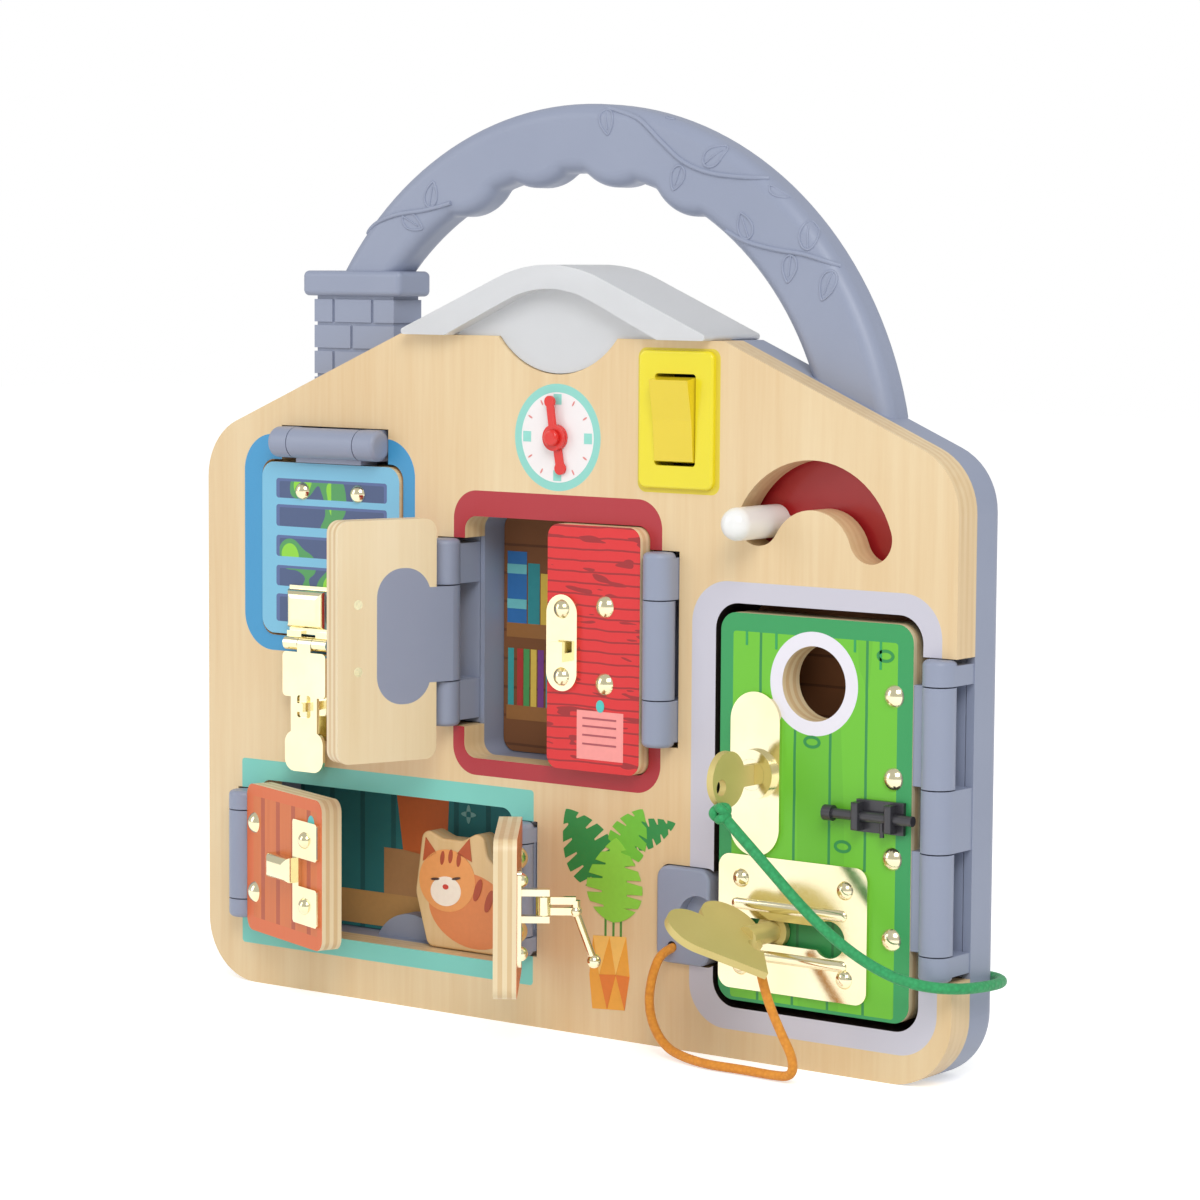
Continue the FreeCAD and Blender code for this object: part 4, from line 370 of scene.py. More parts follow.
grey_abs, tree, shader = moulded_abs("moulded ABS, grey", "979FB4", "8D95AB")
for node in ("back_housing", "hinge_mounts", "slide_keeper", "battery_door", "chimney", "handle",
             "entry_hinge_leaf", "shutter_hinge_leaf", "window_left_hinge_leaf",
             "window_right_hinge_leaf", "kennel_left_hinge_leaf", "kennel_right_hinge_leaf"):
    paint(node, grey_abs)
tray_abs, tree, shader = moulded_abs("moulded ABS, tray", "979FB4", "8D95AB")
place = add_node(tree, "SeparateXYZ", Vector=add_node(tree, "TexCoord").outputs["Object"])
# Painted shade: the tray behind the front door turns near-black, the shade inside its closed
# recess
painted_shade_behind_door = in_band(tree, place.outputs[0], 52.0, 140.0)
tint = tree.nodes["Mix"].outputs[2]
tree.links.new(shade_between(tree, painted_shade_behind_door, tint, linear("1E1D20")),
               shader.inputs["Base Color"])
paint("recess_trays", tray_abs)


# Brass: pressed steel plated with pale brass and lacquered, mirror bright but a little wavy.
# The key and the heart are satin, and the pins, the screws and the contacts are zinc plated.
def plated_brass(name, bright_hex, deep_hex, roughness, metal=1.0):
    material, tree, shader = new_material(name)
    where = add_node(tree, "TexCoord").outputs["Object"]
    cloud = add_node(tree, "TexNoise", Vector=where, Scale=55.0, Detail=2.0)
    scratch = add_node(tree, "TexNoise", Vector=where, Scale=900.0, Detail=3.0)
    tint = shade_between(tree, cloud.outputs[0], linear(bright_hex), linear(deep_hex))
    tree.links.new(tint, shader.inputs["Base Color"])
    rough = arithmetic(tree, "MULTIPLY_ADD", scratch.outputs[0], 0.12, roughness - 0.06)
    tree.links.new(rough, shader.inputs["Roughness"])
    bump = add_node(tree, "Bump", Strength=0.10, Distance=0.0006, Height=cloud.outputs[0])
    tree.links.new(bump.outputs[0], shader.inputs["Normal"])
    shader.inputs["Metallic"].default_value = metal
    return material


polished_brass = plated_brass("brass plate, polished", "F6F0D2", "E9DDAE", 0.15)
satin_brass = plated_brass("brass plate, satin", "DCCB88", "CDBA72", 0.52, 0.40)
turned_steel = plated_brass("steel, zinc plated", "C8CACC", "A9ACB0", 0.30)
for node in ("entry_rivets", "lock_plate", "slide_plate", "lock_cylinder", "shutter_rivets",
             "hasp_base", "hasp_flap", "hasp_catch", "window_left_rivets", "window_latch_plate",
             "window_latch_arm", "window_right_rivets", "window_keeper", "kennel_left_rivets",
             "kennel_strike", "kennel_right_rivets", "kennel_guard_base", "kennel_guard_lever"):
    paint(node, polished_brass)
for node in ("key", "heart_slider"):
    paint(node, satin_brass)
for node in ("hinge_pins", "housing_screws", "battery_contacts"):
    paint(node, turned_steel)


# Slide plate ridges: pressed out of the plate above and below its slot, to stiffen it.
# Each is a ball drawn out along the slot and flattened, sunk a little past its middle.
slide_face_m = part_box("slide_plate")[0].y
ridge_x = 88.0
ridge_radius = 1.7
ridge_half_length = 18.5
ridge_flatness = 0.62
ridge_sink = 0.1
for name, height in (("slide_ridge_upper", 47.4), ("slide_ridge_lower", 32.6)):
    bpy.ops.mesh.primitive_uv_sphere_add(segments=32, ring_count=16, radius=ridge_radius * mm)
    ridge = bpy.context.object
    ridge.name = name
    for corner in ridge.data.vertices:
        corner.co.x += math.copysign(ridge_half_length * mm, corner.co.x) + ridge_x * mm
        corner.co.y = corner.co.y * ridge_flatness + slide_face_m + ridge_sink * mm
        corner.co.z += height * mm
    bpy.ops.object.shade_smooth()
    ridge.data.materials.append(polished_brass)
    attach(ridge, "entry")


# Small gloss mouldings: the light switch, the clock's hands, the dial, its peg and the bolt.
# The lamp's board and the battery cells, which are covered up, are painted here too.
def gloss_moulding(name, hex_colour, dark_hex, nodes_painted, roughness=0.22):
    material, tree, shader = moulded_abs(name, hex_colour, dark_hex, roughness)
    shader.inputs["Coat Weight"].default_value = 0.25
    shader.inputs["Coat Roughness"].default_value = 0.1
    for node in nodes_painted:
        paint(node, material)


gloss_moulding("moulded ABS, gloss yellow", "F0E22B", "E4D320", ["switch_plate"])
gloss_moulding("moulded ABS, gloss deep yellow", "EBD22A", "DFC423", ["rocker", "switch_body"])
gloss_moulding("moulded ABS, gloss red", "E8342C", "D4231F",
               ["hour_hand", "minute_hand", "clock_pin"])
gloss_moulding("moulded ABS, dark red", "C02A2C", "A81F24", ["dial_cup"], 0.4)
gloss_moulding("moulded ABS, gloss white", "F4F4F2", "E9E9E7", ["dial_peg"])
gloss_moulding("moulded ABS, charcoal", "3B3A40", "2C2B30", ["bolt_case", "bolt_pin"], 0.35)
gloss_moulding("glass-filled board, green", "1D6B3A", "155230", ["lamp_board"], 0.5)
gloss_moulding("cell sleeve, dark", "2A2C31", "1F2024", ["battery_cells"], 0.3)


# Roof lamp: frosted polypropylene that would spread the light of the lamp under it.
# It is shown switched off, pale and slightly see-through.
lamp_cap, tree, shader = moulded_abs("frosted polypropylene", "F1F2F4", "E8EAED", 0.40)
shader.inputs["Transmission Weight"].default_value = 0.30
shader.inputs["Subsurface Weight"].default_value = 0.15
shader.inputs["Subsurface Radius"].default_value = (0.006, 0.006, 0.006)
paint("lamp_cap", lamp_cap)


# Doors: birch ply, printed on the front, each in its own colours. Grain and print are laid
# out as on the closed board and swing with the door.
hinge_y = front - 3.0
door_front = front - 4.5
inset_door_front = front - 1.0
door_pale = "F3E3C0"
door_deep = "E3C999"


def plank_lines(tree, across, along, pitch, start, width, wobble):
    """Socket that is 1 on seams a pitch apart, in millimetres, that waver a little."""
    sway = add_node(tree, "CombineXYZ", X=arithmetic(tree, "MULTIPLY", across, 0.3), Y=along,
                    Z=0.0)
    noise = add_node(tree, "TexNoise", Vector=sway.outputs[0], Scale=60.0, Detail=2.0)
    moved = arithmetic(tree, "MULTIPLY_ADD", noise.outputs[0], wobble * mm, across)
    step = arithmetic(tree, "FRACT", arithmetic(tree, "DIVIDE", arithmetic(
        tree, "SUBTRACT", moved, start * mm), pitch * mm))
    return arithmetic(tree, "LESS_THAN", step, width / pitch)


# Kennel doors: orange planks in a plain border, on both doors. The values are each door's
# hinge, the angle that it is turned by and the left and right edges that its planks go by.
kennel_turns = {"kennel_left_door": ((-124.5, hinge_y), -21.0, (-119.5, -68.5)),
                "kennel_right_door": ((-11.7, hinge_y), 126.0, (-67.7, -16.7))}
for node, (pivot, angle, span) in kennel_turns.items():
    kennel_ply, tree, shader, (x, y, z), wood, on_face = birch_ply(
        "birch plywood, " + node.replace("_", " "), door_front, 7.0, 5, pivot, angle,
        door_pale, door_deep)
    inside = in_rectangle(tree, x, z, (span[0] + 4.5, span[1] - 3.0, 23.5, 63.0, 0.6))
    seams = plank_lines(tree, x, z, 10.4, span[0] + 10.0, 2.6, 0.3)
    rough_grain = add_node(tree, "TexNoise", Vector=add_node(
        tree, "CombineXYZ", X=x, Y=y, Z=arithmetic(tree, "MULTIPLY", z, 0.06)).outputs[0],
        Scale=420.0, Detail=3.0)
    plank = shade_between(tree, rough_grain.outputs[0], linear("E07A36"), linear("D0662A"))
    layers = [(1.0, linear("DE6A30")), (inside, plank),
              (arithmetic(tree, "MULTIPLY", inside, seams), linear("B84F22"))]
    print_over(tree, shader, wood, on_face, layers)
    paint(node, kennel_ply)


# Window doors: red boards with darker strokes, the left one turned to show its bare back.
# The values are each door's hinge and the angle that it is turned by.
window_turns = {"window_left_door": ((-41.0, hinge_y), -111.0),
                "window_right_door": ((41.0, hinge_y), 0.0)}
for node, (pivot, angle) in window_turns.items():
    window_ply, tree, shader, (x, y, z), wood, on_face = birch_ply(
        "birch plywood, " + node.replace("_", " "), door_front, 7.0, 5, pivot, angle,
        door_pale, door_deep)
    streaked = add_node(tree, "CombineXYZ", X=arithmetic(tree, "MULTIPLY", x, 0.22), Y=0.0,
                        Z=arithmetic(tree, "MULTIPLY_ADD", x, 0.05, z))
    streaks = add_node(tree, "TexNoise", Vector=streaked.outputs[0], Scale=330.0, Detail=1.0)
    strokes = arithmetic(tree, "GREATER_THAN", streaks.outputs[0], 0.61)
    seams = plank_lines(tree, z, x, 3.4, 82.0, 0.55, 1.9)
    marks = arithmetic(tree, "MAXIMUM", strokes, seams)
    layers = [(1.0, linear("DC262A")), (marks, linear("9E1A20"))]
    print_over(tree, shader, wood, on_face, layers)
    paint(node, window_ply)


# Shutter: light blue louvres over a dark window, printed on the ply, with blots of green
# for leaves in the left part of each slot.
shutter_ply, tree, shader, (x, y, z), wood, on_face = birch_ply(
    "birch plywood, shutter", inset_door_front, 6.0, 5, None, 0.0, door_pale, door_deep)
layers = [(1.0, linear("7BBEDC"))]
slot_rows = ((159.3, 165.6), (150.2, 157.2), (140.5, 147.3), (131.0, 137.6), (119.5, 128.4))
leaf_noise = add_node(tree, "TexVoronoi", {"feature": "SMOOTH_F1"}, Vector=add_node(
    tree, "CombineXYZ", X=x, Y=0.0, Z=z).outputs[0], Scale=95.0)
leaf_masks = []
for size, right_end in ((0.44, -82.0), (0.33, -89.0)):
    blots = arithmetic(tree, "LESS_THAN", leaf_noise.outputs[0], size)
    leaf_masks.append(arithmetic(tree, "MULTIPLY", blots,
                                 in_band(tree, x, -111.0, right_end)))
for bottom, top in slot_rows:
    slot_mask = in_rectangle(tree, x, z, (-112.2, -66.0, bottom, top, 1.0))
    layers.append((slot_mask, linear("55699A")))
    inner = in_rectangle(tree, x, z, (-110.8, -67.2, bottom, top - 0.9, 0.6))
    layers.append((inner, linear("46587F")))
    for leaf_mask, colour in zip(leaf_masks, ("4E9B58", "8ED63A")):
        layers.append((arithmetic(tree, "MULTIPLY", inner, leaf_mask), linear(colour)))
print_over(tree, shader, wood, on_face, layers)
paint("shutter", shutter_ply)


# Front door: bright green planks in a dark green border, and a pale disc round the porthole.
# The wood behind the slide plate is dark green too.
door_ply, tree, shader, (x, y, z), wood, on_face = birch_ply(
    "birch plywood, front door", inset_door_front, 9.0, 5, None, 0.0, door_pale, door_deep)
planks = in_rectangle(tree, x, z, (66.6, 123.6, 19.0, 128.0, 1.0))
seams = plank_lines(tree, x, z, 12.3, 63.8, 0.9, 0.5)
shade = add_node(tree, "TexNoise", Vector=add_node(
    tree, "CombineXYZ", X=x, Y=0.0, Z=arithmetic(tree, "MULTIPLY", z, 0.05)).outputs[0],
    Scale=90.0, Detail=1.0)
plank = shade_between(tree, arithmetic(tree, "GREATER_THAN", shade.outputs[0], 0.52),
                      linear("6CC22C"), linear("66BB2B"))
layers = [(1.0, linear("2E9A57")), (planks, plank),
          (arithmetic(tree, "MULTIPLY", planks, seams), linear("2B8A45")),
          (in_disc(tree, x, z, 95.0, 114.2, 15.2), linear("E9E6F0"))]
slot_floor = in_rectangle(tree, x, z, (66.0, 112.0, 25.0, 59.0, 3.0))
behind_slide = arithmetic(tree, "MULTIPLY", slot_floor, arithmetic(
    tree, "LESS_THAN", y, (front + 5.0) * mm))
under_slot = shade_between(tree, seams, linear("2C8A48"), linear("226E3A"))
print_over(tree, shader, shade_between(tree, behind_slide, wood, under_slot), on_face, layers)
paint("entry_door", door_ply)


# Prints: flat inks on the wood, each shape a film a tenth of a millimetre thick. A print
# over another one stands one film further out.
film_thickness = 0.1


def oval(centre_x, centre_z, half_x, half_z, turn=0.0):
    """Outline of an oval, turned by an angle in degrees."""
    lean = math.radians(turn)
    steps = 40
    outline = []
    for i in range(steps):
        angle = 2 * math.pi * i / steps
        u = half_x * math.cos(angle)
        w = half_z * math.sin(angle)
        outline.append((centre_x + u * math.cos(lean) - w * math.sin(lean),
                        centre_z + u * math.sin(lean) + w * math.cos(lean)))
    return outline


def rectangle(left, right_side, bottom, top):
    """Outline of an upright rectangle."""
    return [(left, bottom), (right_side, bottom), (right_side, top), (left, top)]


def leaf(base_x, base_z, length, width, turn, notches=0):
    """Outline of a pointed leaf from its stalk, with wedge notches cut in both sides."""
    lean = math.radians(turn)
    rim = []
    steps = 48
    for side in (1, -1):
        for i in range(steps):
            t = i / steps if side > 0 else 1 - i / steps
            half = width / 2 * math.sin(math.pi * t ** 0.75) ** 0.8
            if notches and (t * (notches + 1)) % 1 < 0.22 and 0.15 < t < 0.9:
                half *= 0.45
            rim.append((t * length, side * half))
    return [(base_x + u * math.cos(lean) - w * math.sin(lean),
             base_z + u * math.sin(lean) + w * math.cos(lean)) for u, w in rim]


def ink(name, hex_colour):
    # Silk-screen ink: flat and satin, with a faint mottle
    material, tree, shader = moulded_abs(name, hex_colour, hex_colour, 0.5)
    where = add_node(tree, "TexCoord").outputs["Object"]
    mottle = add_node(tree, "TexNoise", Vector=where, Scale=600.0, Detail=2.0)
    pale = [min(1.0, channel * 1.12) for channel in linear(hex_colour)]
    tree.links.new(shade_between(tree, mottle.outputs[0], linear(hex_colour), pale),
                   shader.inputs["Base Color"])
    return material


inks = {}


def printed(name, body, hex_colour, outlines, face_y, turned=None):
    """Film of ink over a face, made from outlines in x and z on the closed board.

    turned is the hinge and the angle of a door that stands open.
    """
    data = bpy.data.curves.new(name, "CURVE")
    data.dimensions = "2D"
    data.fill_mode = "BOTH"
    data.extrude = film_thickness / 2 * mm
    for outline in outlines:
        spline = data.splines.new("POLY")
        spline.points.add(len(outline) - 1)
        spline.use_cyclic_u = True
        for spot, (u, w) in zip(spline.points, outline):
            spot.co = (u * mm, w * mm, 0, 1)
    film = bpy.data.objects.new(name, data)
    bpy.context.scene.collection.objects.link(film)
    film.rotation_euler = (math.radians(90), 0, 0)
    film.location = (0, (face_y - 0.02) * mm, 0)
    bpy.context.view_layer.update()
    if turned:
        pivot = Vector((turned[0][0] * mm, turned[0][1] * mm, 0))
        swing = Matrix.Rotation(math.radians(turned[1]), 4, "Z")
        film.matrix_world = (Matrix.Translation(pivot) @ swing @ Matrix.Translation(-pivot)
                             @ film.matrix_world)
    turn_to_mesh(film)
    bpy.ops.object.transform_apply(location=True, rotation=True, scale=True)
    if hex_colour not in inks:
        inks[hex_colour] = ink("screen print ink " + hex_colour, hex_colour)
    film.data.materials.clear()
    film.data.materials.append(inks[hex_colour])
    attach(film, body)


# Potted plant printed on the wood between the kennel and the front door: three stalks,
# notched leaves in three greens and a faceted pot.
printed("plant_stalks", "root", "4F8A3A",
        [rectangle(19.4, 20.2, 30.0, 50.0), rectangle(22.4, 23.2, 30.0, 56.0),
         rectangle(25.2, 26.0, 30.0, 52.0)], front)
printed("plant_dark_leaves", "root", "2F8A46",
        [leaf(20.0, 47.0, 27.0, 19.0, 125.0, 5), leaf(27.0, 61.0, 20.0, 9.0, 22.0, 5)], front)
printed("plant_mid_leaves", "root", "6FBE3C",
        [leaf(24.0, 54.0, 20.0, 14.0, 62.0, 4)], front - film_thickness)
printed("plant_light_leaves", "root", "8BCF46",
        [leaf(22.8, 36.0, 26.0, 21.0, 88.0, 5)], front - 2 * film_thickness)
printed("plant_pot", "root", "E8A33A", [[(15.0, 8.6), (27.2, 9.4), (29.0, 20.0), (27.6, 32.0),
                                        (15.2, 31.2), (13.8, 19.0)]], front)
printed("plant_pot_light_facets", "root", "F2C266",
        [[(15.2, 31.2), (21.4, 31.6), (17.6, 19.4)], [(21.4, 31.6), (27.6, 32.0), (23.8, 20.0)]],
        front - film_thickness)
printed("plant_pot_dark_facets", "root", "DE7A2C",
        [[(29.0, 20.0), (23.8, 20.0), (27.2, 9.4)], [(17.6, 19.4), (23.8, 20.0), (20.6, 9.0)]],
        front - film_thickness)


# Clock face: plain hour marks printed on the white disc, boxes at the quarters and
# thin ovals at the other hours.
mark_ring = 11.6
tick_ring = 12.0
quarter_marks = []
for u, w in ((0, 1), (1, 0), (0, -1), (-1, 0)):
    mark_x = clock_x + u * mark_ring
    mark_z = clock_z + w * mark_ring
    quarter_marks.append(rectangle(mark_x - 1.5, mark_x + 1.5, mark_z - 1.6, mark_z + 1.6))
printed("clock_quarter_marks", "root", "8FD4C8", quarter_marks, front)
clock_ticks = []
for hour in range(12):
    if hour % 3:
        bearing = math.radians(hour * 30)
        clock_ticks.append(oval(clock_x + tick_ring * math.sin(bearing),
                                clock_z + tick_ring * math.cos(bearing), 0.28, 0.9, -hour * 30))
printed("clock_ticks", "root", "D98A86", clock_ticks, front)


# Note on the red window door: a pink slip with four lines for writing and a pin,
# all of it printed.
printed("window_note", "window_right", "F29A96", [rectangle(11.8, 29.2, 85.8, 100.6)],
        door_front)
printed("window_note_lines", "window_right", "A8545C",
        [rectangle(14.0, 26.6, row, row + 0.55) for row in (90.2, 92.9, 95.6, 98.0)],
        door_front - film_thickness)
printed("window_note_pin", "window_right", "4FC3BE", [oval(20.6, 102.2, 1.5, 1.9)],
        door_front - film_thickness)


# Knots and plank ends drawn on the front door, and a drop on the left kennel door.
# A knot is a ring, an oval with a smaller one cut out of it.
knots = ((94.6, 97.2), (105.6, 67.6), (119.4, 124.0))
printed("door_knots", "entry", "2B8A45",
        [oval(u, w, 3.0, 1.9) for u, w in knots] + [oval(u, w, 2.0, 1.0) for u, w in knots],
        inset_door_front)
printed("door_plank_ends", "entry", "2E9A57",
        [rectangle(u, u + 0.8, 128.0 - drop, 128.2) for u, drop in
         ((71.0, 4.0), (81.4, 4.6), (108.6, 3.6), (117.4, 8.0))], inset_door_front)
printed("kennel_door_drop", "kennel_left", "5CC2C6", [oval(-75.5, 58.0, 2.4, 3.6)], door_front,
        kennel_turns["kennel_left_door"][:2])


# Backdrop cards: a bookshelf behind the window and a dim shed behind the kennel doors.
# The books are upright blocks of ink on two shelf boards.
card_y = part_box("backdrop_cards")[0].y / mm
card_paper, tree, shader = moulded_abs("printed card, matt", "8A5A35", "7A4C2C", 0.75)
place = add_node(tree, "SeparateXYZ", Vector=add_node(tree, "TexCoord").outputs["Object"])
x, y, z = place.outputs
slats = plank_lines(tree, x, z, 13.0, -120.0, 2.0, 0.2)
teal_wall = shade_between(tree, slats, linear("2C7C80"), linear("1F6165"))
boards = plank_lines(tree, z, x, 9.0, 84.0, 0.8, 0.6)
brown_wall = shade_between(tree, boards, linear("7E4F2C"), linear("643B20"))
low = arithmetic(tree, "MULTIPLY", arithmetic(tree, "LESS_THAN", z, 70.0 * mm),
                 arithmetic(tree, "LESS_THAN", x, 40.0 * mm))
scenes = shade_between(tree, low, brown_wall, teal_wall)
tree.links.new(scenes, shader.inputs["Base Color"])
paint("backdrop_cards", card_paper)
upper_shelf = 122.5
lower_shelf = 96.5
shelf_thickness = 4.5
printed("shelf_boards", "root", "9A6836",
        [rectangle(-34.0, 34.0, upper_shelf - shelf_thickness, upper_shelf),
         rectangle(-34.0, 34.0, lower_shelf - shelf_thickness, lower_shelf)], card_y)
thin_book_width = 2.3
thin_book_height = 18.0
book_colours = {"2F6FB0": [(-33.7, 7.6, 22.5), (8.0, 5.0, 20.0)],
                "B03A34": [(-16.0, 4.0, 17.0), (2.0, 4.5, 18.0), (20.0, 4.0, 20.0)],
                "2E8C93": [(-25.6, 4.6, 19.0), (14.5, 3.5, 17.0)],
                "D9B84A": [(-20.6, 3.5, 16.0), (-5.0, 3.5, 16.0), (25.0, 3.0, 18.0)]}
for hex_colour, books in book_colours.items():
    printed("books_" + hex_colour, "root", hex_colour,
            [rectangle(u, u + wide, upper_shelf, upper_shelf + tall)
             for u, wide, tall in books], card_y)
thin_books = {"3AA0A0": -33.4, "B5362F": -29.8, "4C9A56": -27.2, "DDBF52": -24.4,
              "7A3B8C": -21.6}
for hex_colour, start in thin_books.items():
    printed("thin_books_" + hex_colour, "root", hex_colour,
            [rectangle(start + u, start + u + thin_book_width, lower_shelf,
                       lower_shelf + thin_book_height - 0.1 * u)
             for u in (0.0, 15.0, 30.0)], card_y)
printed("book_bands", "root", "6FC0C4", [rectangle(-33.7, -26.1, 127.0, 130.0),
                                        rectangle(-33.7, -26.1, 138.0, 141.0)],
        card_y - film_thickness)
printed("shed_flag", "root", "D06A36", [[(-79.0, 66.0), (-57.0, 66.0), (-58.0, 44.0),
                                        (-76.0, 46.0)]], card_y)
printed("shed_floor", "root", "C99A5E", [rectangle(-118.0, -18.0, 20.0, 31.0)], card_y)
printed("shed_wall_panel", "root", "B98A5C", [rectangle(-84.0, -66.0, 31.0, 46.0)], card_y)
printed("shed_ball", "root", "4FB8A8", [oval(-63.0, 37.0, 6.0, 4.6)],
        card_y - film_thickness)
printed("shed_star", "root", "7FB3B0",
        [oval(-49.0, 60.0, 3.0, 0.9), oval(-49.0, 60.0, 0.9, 3.0)], card_y - film_thickness)


# Pet: a cut-out of ply with a plain orange tabby printed on the front. The tabby is drawn
# from the middle of the cut-out's foot and then enlarged.
pet_low, pet_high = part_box("pet_figure")
pet_front = pet_low.y / mm
pet_x = (pet_low.x + pet_high.x) / 2 / mm
pet_z = pet_low.z / mm
pet_growth = 1.18
pet_drop = 2.4
paint("pet_figure", birch_ply("birch plywood, pet", pet_front, 7.0, 5, None, 0.0, "E6C594",
                              "D2A869")[0])


def on_pet(u, v):
    """Place on the board of a point of the pet's drawing."""
    return pet_x + pet_growth * u, pet_z + pet_growth * v - pet_drop


def pet_oval(u, v, wide, tall, tilt=0.0):
    """Outline of an oval of the pet's drawing."""
    across, up = on_pet(u, v)
    return oval(across, up, pet_growth * wide, pet_growth * tall, tilt)


def printed_on_pet(name, hex_colour, outlines, films_below):
    """Print on the pet, over as many films of ink as lie under it."""
    printed(name, "pet", hex_colour, outlines, pet_front - films_below * film_thickness)


printed_on_pet("pet_body", "D9814A", [pet_oval(2.0, 13.2, 14.5, 10.0, -10.0)], 0)
printed_on_pet("pet_head", "E79A58", [pet_oval(-6.0, 20.5, 9.6, 8.4, 8.0)], 1)
printed_on_pet("pet_ears", "B5532B",
               [[on_pet(-14.4, 25.0), on_pet(-13.4, 31.6), on_pet(-9.6, 27.6)],
                [on_pet(-2.6, 28.2), on_pet(1.6, 32.6), on_pet(2.4, 26.4)]], 1)
printed_on_pet("pet_muzzle", "F5E4D2", [pet_oval(-6.4, 17.6, 5.2, 4.0, 8.0)], 2)
head_stripes = [pet_oval(-7.6 + i * 2.8, 27.2 - abs(i - 1) * 0.7, 0.7, 1.9, -8.0)
                for i in range(3)]
back_stripes = [pet_oval(4.5 + i * 3.8, 19.0 - i * 2.6, 1.1, 3.2, -20.0) for i in range(3)]
printed_on_pet("pet_stripes", "A9482A", head_stripes + back_stripes, 2)
printed_on_pet("pet_eyes", "4A2E22",
               [pet_oval(-10.0, 20.6, 1.5, 0.35, 6.0), pet_oval(-2.8, 21.4, 1.5, 0.35, 12.0)], 3)
printed_on_pet("pet_nose", "C9402F", [pet_oval(-6.4, 18.8, 1.0, 0.7)], 3)


# Handle relief: a climbing plant moulded into the front, its stems, the rims of its leaves
# and their veins, each a round bead sunk to its middle in the handle.
handle = nodes["handle"]
stem_radius = 0.75
rim_radius = 0.38
vein_radius = rim_radius * 0.8


def on_handle(u, w):
    """Point on the handle's front at x and z, or None past its edge."""
    hit, place = handle.ray_cast(Vector((u * mm, -0.2, w * mm)), Vector((0, 1, 0)))[:2]
    return place if hit else None


def smooth_path(places, parts=6):
    """Points of a smooth line through the given ones."""
    ends = [places[0]] + list(places) + [places[-1]]
    line = []
    for i in range(1, len(ends) - 2):
        for part in range(parts):
            t = part / parts
            weights = (-0.5 * t ** 3 + t ** 2 - 0.5 * t, 1.5 * t ** 3 - 2.5 * t ** 2 + 1,
                       -1.5 * t ** 3 + 2 * t ** 2 + 0.5 * t, 0.5 * t ** 3 - 0.5 * t ** 2)
            line.append(tuple(sum(weights[k] * ends[i - 1 + k][axis] for k in range(4))
                              for axis in (0, 1)))
    return line + [places[-1]]


relief = bpy.data.curves.new("vine_relief", "CURVE")
relief.dimensions = "3D"
relief.bevel_depth = 1.0 * mm
relief.bevel_resolution = 3
relief.resolution_u = 4
relief.use_fill_caps = True


def raise_line(flat_line, radius, closed=False):
    """Adds a half-sunk bead along a line on the handle."""
    places = [on_handle(u, w) for u, w in flat_line]
    places = [place for place in places if place is not None]
    if len(places) < 4:
        return
    spline = relief.splines.new("NURBS")
    spline.points.add(len(places) - 1)
    for spot, place in zip(spline.points, places):
        spot.co = (*place, 1)
        spot.radius = radius
    spline.order_u = 3
    spline.use_endpoint_u = not closed
    spline.use_cyclic_u = closed


stems = [[(9.5, 282.0), (21.9, 278.4), (30.5, 271.6), (38.5, 265.6), (48.0, 262.2),
          (58.5, 260.9), (69.0, 260.4)],
         [(54.0, 245.0), (62.0, 241.8), (72.0, 239.6), (82.8, 238.1), (93.0, 235.0),
          (102.5, 230.4)],
         [(-86.0, 244.0), (-80.5, 247.2), (-71.4, 249.9), (-60.4, 251.2), (-50.0, 253.4)]]
for stem in stems:
    raise_line(smooth_path(stem), stem_radius)
leaves = [(9.4, 281.6, 8.0, 5.0, -80.0), (29.0, 280.6, 10.0, 5.6, 6.0),
          (46.0, 264.6, 9.5, 5.4, 34.0), (38.0, 264.4, 8.0, 4.8, -112.0),
          (69.4, 260.2, 8.0, 5.2, -42.0),
          (62.6, 242.6, 8.4, 5.2, 112.0), (83.6, 239.4, 9.0, 5.4, 98.0),
          (77.6, 238.2, 8.4, 5.0, -98.0), (92.0, 233.6, 9.4, 5.2, -112.0),
          (-58.8, 252.0, 8.4, 5.0, 78.0), (-69.6, 249.4, 9.0, 5.0, -26.0)]
for base_x, base_z, length, width, turn in leaves:
    raise_line(leaf(base_x, base_z, length, width, turn)[::4], rim_radius, True)
    lean = math.radians(turn)
    vein = [(base_x + length * t * math.cos(lean), base_z + length * t * math.sin(lean))
            for t in (0.0, 0.2, 0.4, 0.6, 0.78)]
    raise_line(vein, vein_radius)
vine = bpy.data.objects.new("vine_relief", relief)
bpy.context.scene.collection.objects.link(vine)
turn_to_mesh(vine)
bpy.ops.object.shade_smooth()
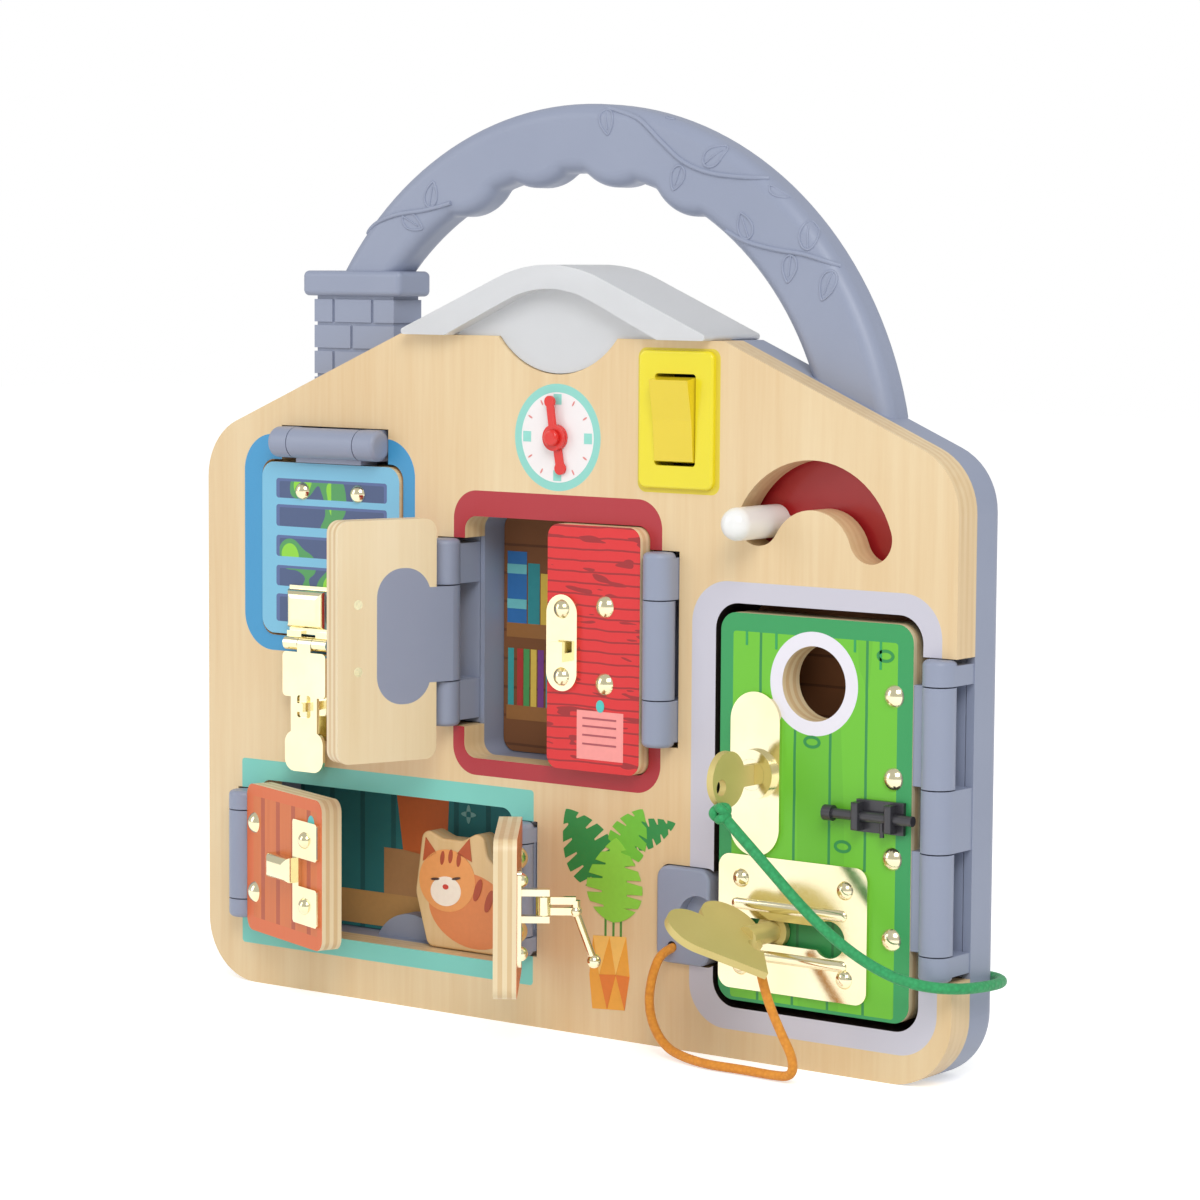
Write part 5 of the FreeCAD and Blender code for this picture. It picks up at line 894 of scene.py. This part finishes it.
vine.data.materials.clear()
vine.data.materials.append(grey_abs)
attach(vine, "root")


# Floor: a plain white table that shows the board's soft shadow. It glows a little to the
# camera and in reflections, which brings it nearer to the white of the room.
bpy.ops.mesh.primitive_plane_add(size=8, location=(0, 0, 0))
floor = bpy.context.object
floor.name = "floor"
floor_white, tree, shader = new_material("white paper, matt")
shader.inputs["Base Color"].default_value = linear("F4F4F4")
shader.inputs["Roughness"].default_value = 0.9
seen = add_node(tree, "LightPath")
direct = arithmetic(tree, "MULTIPLY", arithmetic(
    tree, "MAXIMUM", seen.outputs["Is Camera Ray"], seen.outputs["Is Glossy Ray"]), 0.50)
shader.inputs["Emission Color"].default_value = linear("FFFFFF")
tree.links.new(direct, shader.inputs["Emission Strength"])
floor.data.materials.append(floor_white)


# Light: a bright room, one large soft box at the front right and a weaker one at the left.
# Behind the board the camera sees the room as plain white.
world = bpy.data.worlds.new("studio")
bpy.context.scene.world = world
world.use_nodes = True
tree = world.node_tree
tree.nodes.clear()
seen = add_node(tree, "LightPath")
shown = arithmetic(tree, "MAXIMUM", seen.outputs["Is Camera Ray"],
                   seen.outputs["Is Transmission Ray"])
strength = arithmetic(tree, "MAXIMUM", shown, 0.62)
sky = add_node(tree, "Background", Color=linear("FFFFFF"), Strength=strength)
add_node(tree, "OutputWorld", Surface=sky.outputs[0])


def soft_box(name, place, aim, width, height, power):
    """Rectangular studio light that points at a spot, in metres and watts."""
    data = bpy.data.lights.new(name, "AREA")
    data.shape = "RECTANGLE"
    data.size = width
    data.size_y = height
    data.energy = power
    lamp = bpy.data.objects.new(name, data)
    bpy.context.scene.collection.objects.link(lamp)
    lamp.location = place
    lamp.rotation_euler = (Vector(aim) - Vector(place)).to_track_quat("-Z", "Y").to_euler()


board_middle_m = (0, 0, 0.12)
soft_box("key_light", (1.0, -1.1, 1.3), board_middle_m, 0.9, 0.9, 16.0)
soft_box("fill_light", (-1.3, -1.2, 0.7), board_middle_m, 0.7, 1.1, 5.0)
